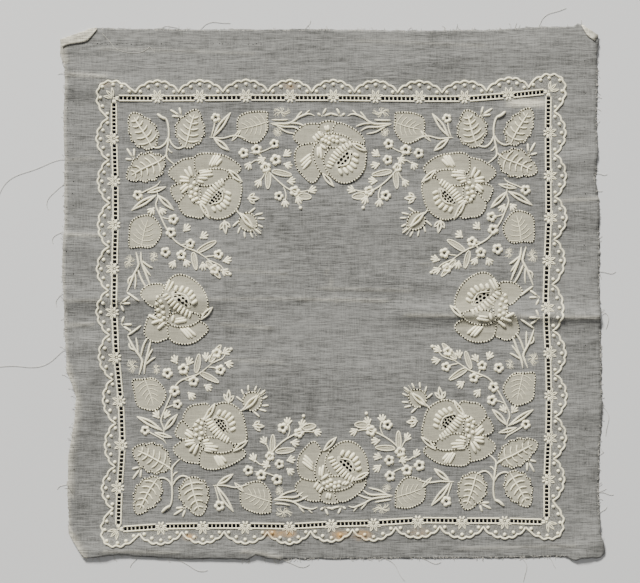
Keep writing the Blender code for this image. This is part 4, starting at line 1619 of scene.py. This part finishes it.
@cache
def applied_material():
    """Applied lawn; below nought the stored shade is the scallops' own ground, greyer and grained."""
    settings = bpy.context.scene.hk_stitch
    material, tree, inputs = shader("applied lawn", 0.85, sheen=0.15)
    shade = stored(tree, "shade")
    petal = mix(tree, reckon(tree, "MULTIPLY", shade, 0.45), settings.applied_colour, settings.thread_colour)
    grain = spread(tree, noise(tree, 1100.0), 0.36, 0.64, 0.55, 1.5)
    ground = shaded(tree, bpy.context.scene.hk_cloth.colour, grain)
    base = mix(tree, reckon(tree, "MULTIPLY", shade, -1.0), petal, ground)
    stained(tree, shaded(tree, base, slub_shade(tree, 0.2)), inputs)
    weave_bump(tree, inputs)
    return material


def cotton(name, roughness):
    """Embroidery cotton: cream, a little greyer in places."""
    material, tree, inputs = shader(name, roughness, sheen=0.2)
    stained(tree, patchy(tree, bpy.context.scene.hk_stitch.thread_colour, 60.0, 0.86, 1.1), inputs)
    return material, tree, inputs


@cache
def thread_material():
    """Cotton laid side by side, with fine fibres."""
    material, tree, inputs = cotton("cotton thread", 0.5)
    add_bump(tree, inputs, noise(tree, 2400.0), 0.5, 0.0002)
    return material


@cache
def cord_material():
    """Buttonholed cord: the same cotton, with the stitches that cross it as fine ribs."""
    material, tree, inputs = cotton("corded thread", 0.65)
    turns = reckon(tree, "MULTIPLY", stored(tree, "along"), 2 * math.pi / RIB_PITCH)
    ribs = add_node(tree, "ShaderNodeMath", {0: turns}, operation="SINE")
    add_bump(tree, inputs, ribs.outputs["Value"], 0.5, 0.00015)
    return material


def plain(name, roughness, colour, scale, low, high, detail=2.0, specular=0.25):
    """A material of one colour in slight patches."""
    material, tree, inputs = shader(name, roughness, specular)
    tree.links.new(patchy(tree, colour, scale, low, high, detail), inputs["Base Color"])
    return material


# Painted shade: every hole is a disc in this near-black colour, for the dark that shows through it
@cache
def hole_shade_material():
    colour = bpy.context.scene.hk_stitch.hole_shade_colour
    return plain("openwork hole", 1.0, colour, 900.0, 0.5, 2.0, detail=1.0, specular=0.0)


def fringe_material():
    return plain("single threads", 0.8, bpy.context.scene.hk_fringe.colour, 300.0, 0.75, 1.15)


def floor_material():
    return plain("plain floor", 0.9, bpy.context.scene.hk_stage.floor_colour, 6.0, 0.985, 1.015)


# The lawn sheet

def side_points(side, count):
    """Points along a raw side, at even steps along the axis that it follows."""
    table, axis = SIDES[side]
    rows = np.array(table) / 1000
    places = np.linspace(rows[0, 0], rows[-1, 0], count + 1)
    points = np.column_stack([places, np.interp(places, rows[:, 0], rows[:, 1])])
    return points if axis == 0 else points[:, ::-1]


def ragged_side(side, count, rng):
    """A raw edge: single yarns that end a little short or stand a little proud."""
    points = side_points(side, count).copy()
    yarns = rng.normal(0, YARN_ENDS, count + 1)
    rough = yarns + np.convolve(rng.normal(0, EDGE_WAVE, count + 9), np.ones(9) / 9, "valid")
    rough[:2] = 0
    rough[-2:] = 0
    points[:, 1 - SIDES[side][1]] += rough
    return points


def sheet_grid():
    """Places of the sheet's grid, blended between its four raw sides."""
    settings = bpy.context.scene.hk_cloth
    rng = np.random.default_rng(SEED)
    columns, rows = settings.columns, settings.rows
    left, right = (ragged_side(side, rows, rng) for side in ("left", "right"))
    bottom, top = (ragged_side(side, columns, rng) for side in ("bottom", "top"))
    for upright, j in ((left, 0), (right, -1)):
        bottom[j], top[j] = upright[0], upright[-1]
    u = np.linspace(0, 1, columns + 1)[:, None, None]
    v = np.linspace(0, 1, rows + 1)[None, :, None]
    between = (1 - v) * bottom[:, None] + v * top[:, None] + (1 - u) * left[None] + u * right[None]
    corners = (1 - u) * (1 - v) * bottom[0] + u * (1 - v) * bottom[-1]
    corners = corners + (1 - u) * v * top[0] + u * v * top[-1]
    return between - corners


def turned_rows(edge, depths):
    """Rows that carry a corner over its fold and back across the face, one list of points for each step."""
    settings = bpy.context.scene.hk_cloth
    run = edge[-1] - edge[0]
    inward = np.array([run[1], -run[0]]) / np.hypot(*run)
    places, reaches = np.array(depths).T
    reach = np.interp(np.linspace(0, 1, len(edge)), places, reaches) / 1000
    base = lift(edge[:, 0], edge[:, 1])
    radius = settings.flap_radius
    rows = []
    for angle in np.linspace(0, math.pi, 6)[1:]:
        height = base + radius * (1 - math.cos(angle))
        rows.append(np.column_stack([edge - inward * radius * math.sin(angle), height]))
    for share in (0.25, 0.5, 0.75, 1.0):
        flat = edge + inward * (reach * share)[:, None]
        droop = FLAP_DROOP * math.sin(math.pi * share)
        height = lift(flat[:, 0], flat[:, 1]) + 2 * radius + settings.thickness - droop
        rows.append(np.column_stack([flat, height]))
    return rows


def doubled_and_highlight_places(x, y):
    """Where the lawn is drawn paler: painted highlights along the creases, bands along the left edge and a
    corner's edge, and the doubled mend.
    """
    parts = []
    # Painted highlight: a pale line along each crease, stronger the higher it stands, where its ridge catches
    # the light
    for start, end, rise, _ in CREASES:
        parts.append(CREASE_HIGHLIGHT * rise * np.exp(-((beside(x, y, start, end) / CREASE_HIGHLIGHT_WIDTH) ** 2)))
    places, reaches = np.array(LEFT_SIDE).T / 1000
    left = x - np.interp(y, places, reaches)
    for strength, width, low, high in LEFT_EDGE_BANDS:
        parts.append(strength * np.exp(-((left / width) ** 2)) * (y > low) * (y < high))
    corner = CORNER_BAND
    off = (x - corner["place"][0]) * corner["across"][0] + (y - corner["place"][1]) * corner["across"][1]
    band = corner["strength"] * np.exp(-((np.abs(off) / corner["width"]) ** 2))
    parts.append(band * (x < corner["right"]) * (y < corner["top"]))
    centre = world([MEND["centre"]])[0]
    half = np.array(MEND["half"]) * PIXEL
    parts.append(np.exp(-(((x - centre[0]) / half[0]) ** 6)) * np.exp(-(((y - centre[1]) / half[1]) ** 4)))
    return np.max(parts, axis=0)


def build_sheet():
    """The sheet with its folds and creases, its turned corners and its thickness."""
    settings = bpy.context.scene.hk_cloth
    grid = sheet_grid()
    columns, rows = settings.columns, settings.rows
    x, y = grid[..., 0].ravel(), grid[..., 1].ravel()
    vertices = np.column_stack([x, y, lift(x, y)]).tolist()
    dense = doubled_and_highlight_places(x, y).tolist()
    faces = []
    for i in range(columns):
        for j in range(rows):
            a = i * (rows + 1) + j
            faces.append((a, a + rows + 1, a + rows + 2, a + 1))
    for turn in TURNED_CORNERS:
        first = 0 if turn["from_left"] else columns - turn["columns"]
        picks = range(first, first + turn["columns"] + 1)
        before = [i * (rows + 1) + rows for i in picks]
        for line in turned_rows(grid[first : first + len(picks), -1], turn["depths"]):
            now = list(range(len(vertices), len(vertices) + len(line)))
            vertices += line.tolist()
            dense += [TURNED_SHADE] * len(line)
            for k in range(len(now) - 1):
                faces.append((before[k], before[k + 1], now[k + 1], now[k]))
            before = now
    obj = mesh_object("lawn_sheet", vertices, [], faces)
    attribute(obj, "dense", "FLOAT", dense)
    obj.data.materials.append(lawn_material())
    solidify = obj.modifiers.new("thickness", "SOLIDIFY")
    solidify.thickness = settings.thickness
    solidify.offset = 1.0
    solidify.use_even_offset = False
    return finished(obj)


# Frayed edges and loose threads

def outward(side, points):
    """Steps of length 1 out of a raw side, at each of its points."""
    run = np.gradient(points, axis=0)
    run /= np.linalg.norm(run, axis=1)[:, None]
    turn = 1 if side in ("left", "top") else -1
    return turn * np.column_stack([-run[:, 1], run[:, 0]])


def fringe_lines():
    """Short frayed ends all along the raw sides, the long loose threads, and one that lies on the cloth."""
    settings = bpy.context.scene.hk_fringe
    rng = np.random.default_rng(SEED + 9)
    radius = settings.radius
    lines = []
    for side in SIDES:
        edge = side_points(side, 260)
        normal = outward(side, edge)
        skip = 18 if side == "top" else 3
        for _ in range(settings.per_side):
            i = int(rng.integers(skip, len(edge) - 8))
            length = rng.gamma(FRAY_SHAPE, FRAY_SCALE) + FRAY_LEAST
            heading, bend = rng.normal(0, 38), rng.normal(0, 70)
            root = edge[i] - normal[i] * 0.0012
            lines.append(loose_line(root, normal[i], length, heading, bend, 4, radius))
        for name, at, heading, bend, length in LOOSE_THREADS:
            if name == side:
                i = int(np.argmin(np.abs(edge[:, SIDES[side][1]] - at / 1000)))
                root, steps = edge[i] - normal[i] * 0.001, max(8, int(length / 1.6))
                length = (length + ROOTED) / 1000
                lines.append(loose_line(root, normal[i], length, heading, bend, steps, radius * 1.15))
    lying = smooth_line(world(LYING_THREAD), 0.0012)
    height = face_height(lying[:, 0], lying[:, 1]) + radius
    lines.append((np.column_stack([lying, height]), np.full(len(lying), radius * 1.2), False))
    return lines


def loose_line(root, normal, length, heading, bend, count, radius):
    """One thread out of the raw edge, down to the surface and along it in a slack curve."""
    angle = math.atan2(normal[1], normal[0]) + math.radians(heading)
    start_height = float(lift(root[:1], root[1:])[0]) + THREAD_RISE
    place = root
    points = [(*place, start_height)]
    for i in range(1, count + 1):
        share = i / count
        angle += math.radians(bend) / count
        sway = math.radians(14) * math.sin(2.4 * math.pi * share)
        place = place + length / count * toward(angle + sway)
        height = radius + start_height * max(0.0, 1 - share * length / THREAD_FALL) ** 2
        points.append((*place, height))
    return np.array(points), np.full(len(points), radius), False


# Finished pieces

def ride(obj, on_lawn=True):
    """Keeps a finished piece over what it lies on and gives it its body."""
    keep_over(obj, on_lawn)
    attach(obj, "root")
    return obj


def build_group(prefix, work, settings):
    """Builds every kind of stitch of a group of motifs as a piece of its own."""
    layers, thread = work.layers, thread_material()
    ride(build_layers(prefix + "_applied", layers))
    ride(build_cords(prefix + "_cords", work.cords, layers))
    ride(build_bars(prefix + "_satin", work.bars, layers, thread))
    ride(build_knots(prefix + "_knots", work.knots, layers, settings.knot, thread))
    if work.flowers:
        ride(build_flowers(prefix + "_eyelet_flowers", work.flowers, settings.flower, thread))
        holes = [(np.vstack([row[0][0], row[0][0] + (1, 0)]), 1.0, 1.0) for row in work.flowers]
        ride(build_holes(prefix + "_flower_holes", holes, (), settings.flower_hole, EYE_RISE))
    edges = []
    for points, closed in work.pins:
        edge = np.vstack([points, points[:1]]) if closed else points
        edges.append((edge, settings.pin_cord / PIXEL, False, 0.0))
    ride(build_cords(prefix + "_pin_edges", edges, layers, 0.5, 6))
    top = settings.pin_cord * 0.37
    ride(build_pins(prefix + "_pin_stitches", work.pins, layers, top))
    if work.holes:
        ride(build_holes(prefix + "_openwork", work.holes, layers, settings.openwork, NET_RISE))


# The stage

def add_light(name, place, size, power):
    """A round light that looks at the middle of the cloth."""
    data = bpy.data.lights.new(name, "AREA")
    data.shape = "DISK"
    data.size = size
    data.energy = power
    data.color = LIGHT_COLOUR
    obj = bpy.data.objects.new(name, data)
    obj.location = place
    direction = -np.array(place) / np.linalg.norm(place)
    obj.rotation_euler = (math.acos(-direction[2]), 0, math.atan2(direction[1], direction[0]) - math.pi / 2)
    bpy.context.scene.collection.objects.link(obj)


def world_light(strength):
    """An even, faint light from all round."""
    surroundings = bpy.data.worlds.new("studio")
    surroundings.use_nodes = True
    backdrop = surroundings.node_tree.nodes["Background"]
    backdrop.inputs["Color"].default_value = (1.0, 0.99, 0.97, 1.0)
    backdrop.inputs["Strength"].default_value = strength
    bpy.context.scene.world = surroundings


def add_camera(lens):
    """A camera straight above, at the height where a pixel of the render is a pixel of the photograph."""
    data = bpy.data.cameras.new("camera")
    data.lens = lens
    data.sensor_width = 36.0
    obj = bpy.data.objects.new("camera", data)
    obj.location = (*world([IMAGE_CENTRE])[0], IMAGE_WIDTH * PIXEL * lens / data.sensor_width)
    bpy.context.scene.collection.objects.link(obj)
    bpy.context.scene.camera = obj


# Operators

class HK_OT_sheet(bpy.types.Operator):
    """Makes the sheer lawn sheet with its folds, creases, raw outline and turned corners"""

    bl_idname = "whitework.sheet"
    bl_label = "Lawn sheet"

    def execute(self, context):
        sheet = build_sheet()
        ride(sheet, False)
        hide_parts("cloth")
        return {"FINISHED"}


class HK_OT_fringe(bpy.types.Operator):
    """Makes the frayed ends and loose threads along the raw edges"""

    bl_idname = "whitework.fringe"
    bl_label = "Frayed edges"

    def execute(self, context):
        obj = lines_object("frayed_threads", fringe_lines())
        with_nodes(obj, cord_tree(), {"Sides": 5, "Flatness": 1.0, "Material": fringe_material()})
        ride(obj, False)
        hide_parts("frayed_left", "frayed_right", "frayed_top", "frayed_bottom")
        return {"FINISHED"}


class HK_OT_roses(bpy.types.Operator):
    """Makes the roses: applied petals, padded satin, knots and openwork eyes"""

    bl_idname = "whitework.roses"
    bl_label = "Roses"

    def execute(self, context):
        build_group("rose", all_roses(), context.scene.hk_stitch)
        return {"FINISHED"}


class HK_OT_leaves(bpy.types.Operator):
    """Makes the leaves, stems, sprays, small flowers and buds"""

    bl_idname = "whitework.leaves"
    bl_label = "Leaves and sprays"

    def execute(self, context):
        build_group("leaf", leaves_and_sprays(), context.scene.hk_stitch)
        return {"FINISHED"}


class HK_OT_border(bpy.types.Operator):
    """Makes the scalloped cord, beads, daisies and the openwork ladder"""

    bl_idname = "whitework.border"
    bl_label = "Scalloped border"

    def execute(self, context):
        settings = context.scene.hk_border
        work = border(settings)
        layers, thread = work.layers, thread_material()
        ride(build_layers("scallop_ground", layers))
        ride(build_cords("border_cords", work.cords, (), 0.9, 8))
        ride(build_bars("daisy_petals", work.bars, layers, thread))
        ride(build_knots("scallop_beads", work.knots, layers, settings.bead, thread))
        ride(build_holes("ladder_eyelets", work.holes, (), settings.eyelet, LADDER_RISE))
        return {"FINISHED"}


class HK_OT_pricks(bpy.types.Operator):
    """Makes the small pricked holes in the margins"""

    bl_idname = "whitework.pricks"
    bl_label = "Pricked holes"

    def execute(self, context):
        rng = np.random.default_rng(SEED + 12)
        work = Stitching()
        for first, last, count in PRICKED_ROWS:
            for share in np.linspace(0, 1, count):
                spot = np.array(first) + (np.array(last) - first) * share + rng.normal(0, 0.5, 2)
                work.hole(spot, rng.uniform(0.4, 1.0), rng.uniform(0, 3), rng.uniform(1.0, 1.5))
        radius = context.scene.hk_stitch.prick
        ride(build_holes("pricked_holes", work.holes, (), radius, PRICK_RISE))
        return {"FINISHED"}


class HK_OT_stage(bpy.types.Operator):
    """Sets the floor, the soft studio lights and the camera"""

    bl_idname = "whitework.stage"
    bl_label = "Stage"

    def execute(self, context):
        settings = context.scene.hk_stage
        half = settings.floor_size / 2
        corners = [(x * half, y * half, FLOOR_HEIGHT) for x, y in ((-1, -1), (1, -1), (1, 1), (-1, 1))]
        floor = mesh_object("floor", corners, [], [(0, 1, 2, 3)])
        floor.data.materials.append(floor_material())
        add_light("key", (-1.7, 4.4, 2.75), 1.5, settings.key_power)
        add_light("fill", (0.3, -0.3, 1.6), 1.6, settings.fill_power)
        world_light(settings.surroundings)
        add_camera(settings.lens)
        return {"FINISHED"}


class HK_PT_panel(bpy.types.Panel):
    """Lists the pieces and their sizes"""

    bl_idname = "HK_PT_panel"
    bl_label = "Whitework handkerchief"
    bl_space_type = "VIEW_3D"
    bl_region_type = "UI"
    bl_category = "Whitework"

    def draw(self, context):
        for operator in OPERATORS:
            self.layout.operator(operator.bl_idname)
        for name in SETTINGS:
            group = getattr(context.scene, name)
            box = self.layout.box()
            for key in group.bl_rna.properties.keys():
                if key not in ("rna_type", "name"):
                    box.prop(group, key)


OPERATORS = (HK_OT_sheet, HK_OT_fringe, HK_OT_roses, HK_OT_leaves, HK_OT_border, HK_OT_pricks, HK_OT_stage)
SETTINGS = {
    "hk_cloth": ClothSettings,
    "hk_stitch": StitchSettings,
    "hk_border": BorderSettings,
    "hk_fringe": FringeSettings,
    "hk_stage": StageSettings,
}
CLASSES = (*SETTINGS.values(), *OPERATORS, HK_PT_panel)


def register():
    for item in CLASSES:
        bpy.utils.register_class(item)
    for name, group in SETTINGS.items():
        setattr(bpy.types.Scene, name, PointerProperty(type=group))


def unregister():
    for name in SETTINGS:
        delattr(bpy.types.Scene, name)
    for item in reversed(CLASSES):
        bpy.utils.unregister_class(item)


def main():
    register()
    for operator in OPERATORS:
        group, name = operator.bl_idname.split(".")
        getattr(getattr(bpy.ops, group), name)()


if __name__ == "__main__":
    main()
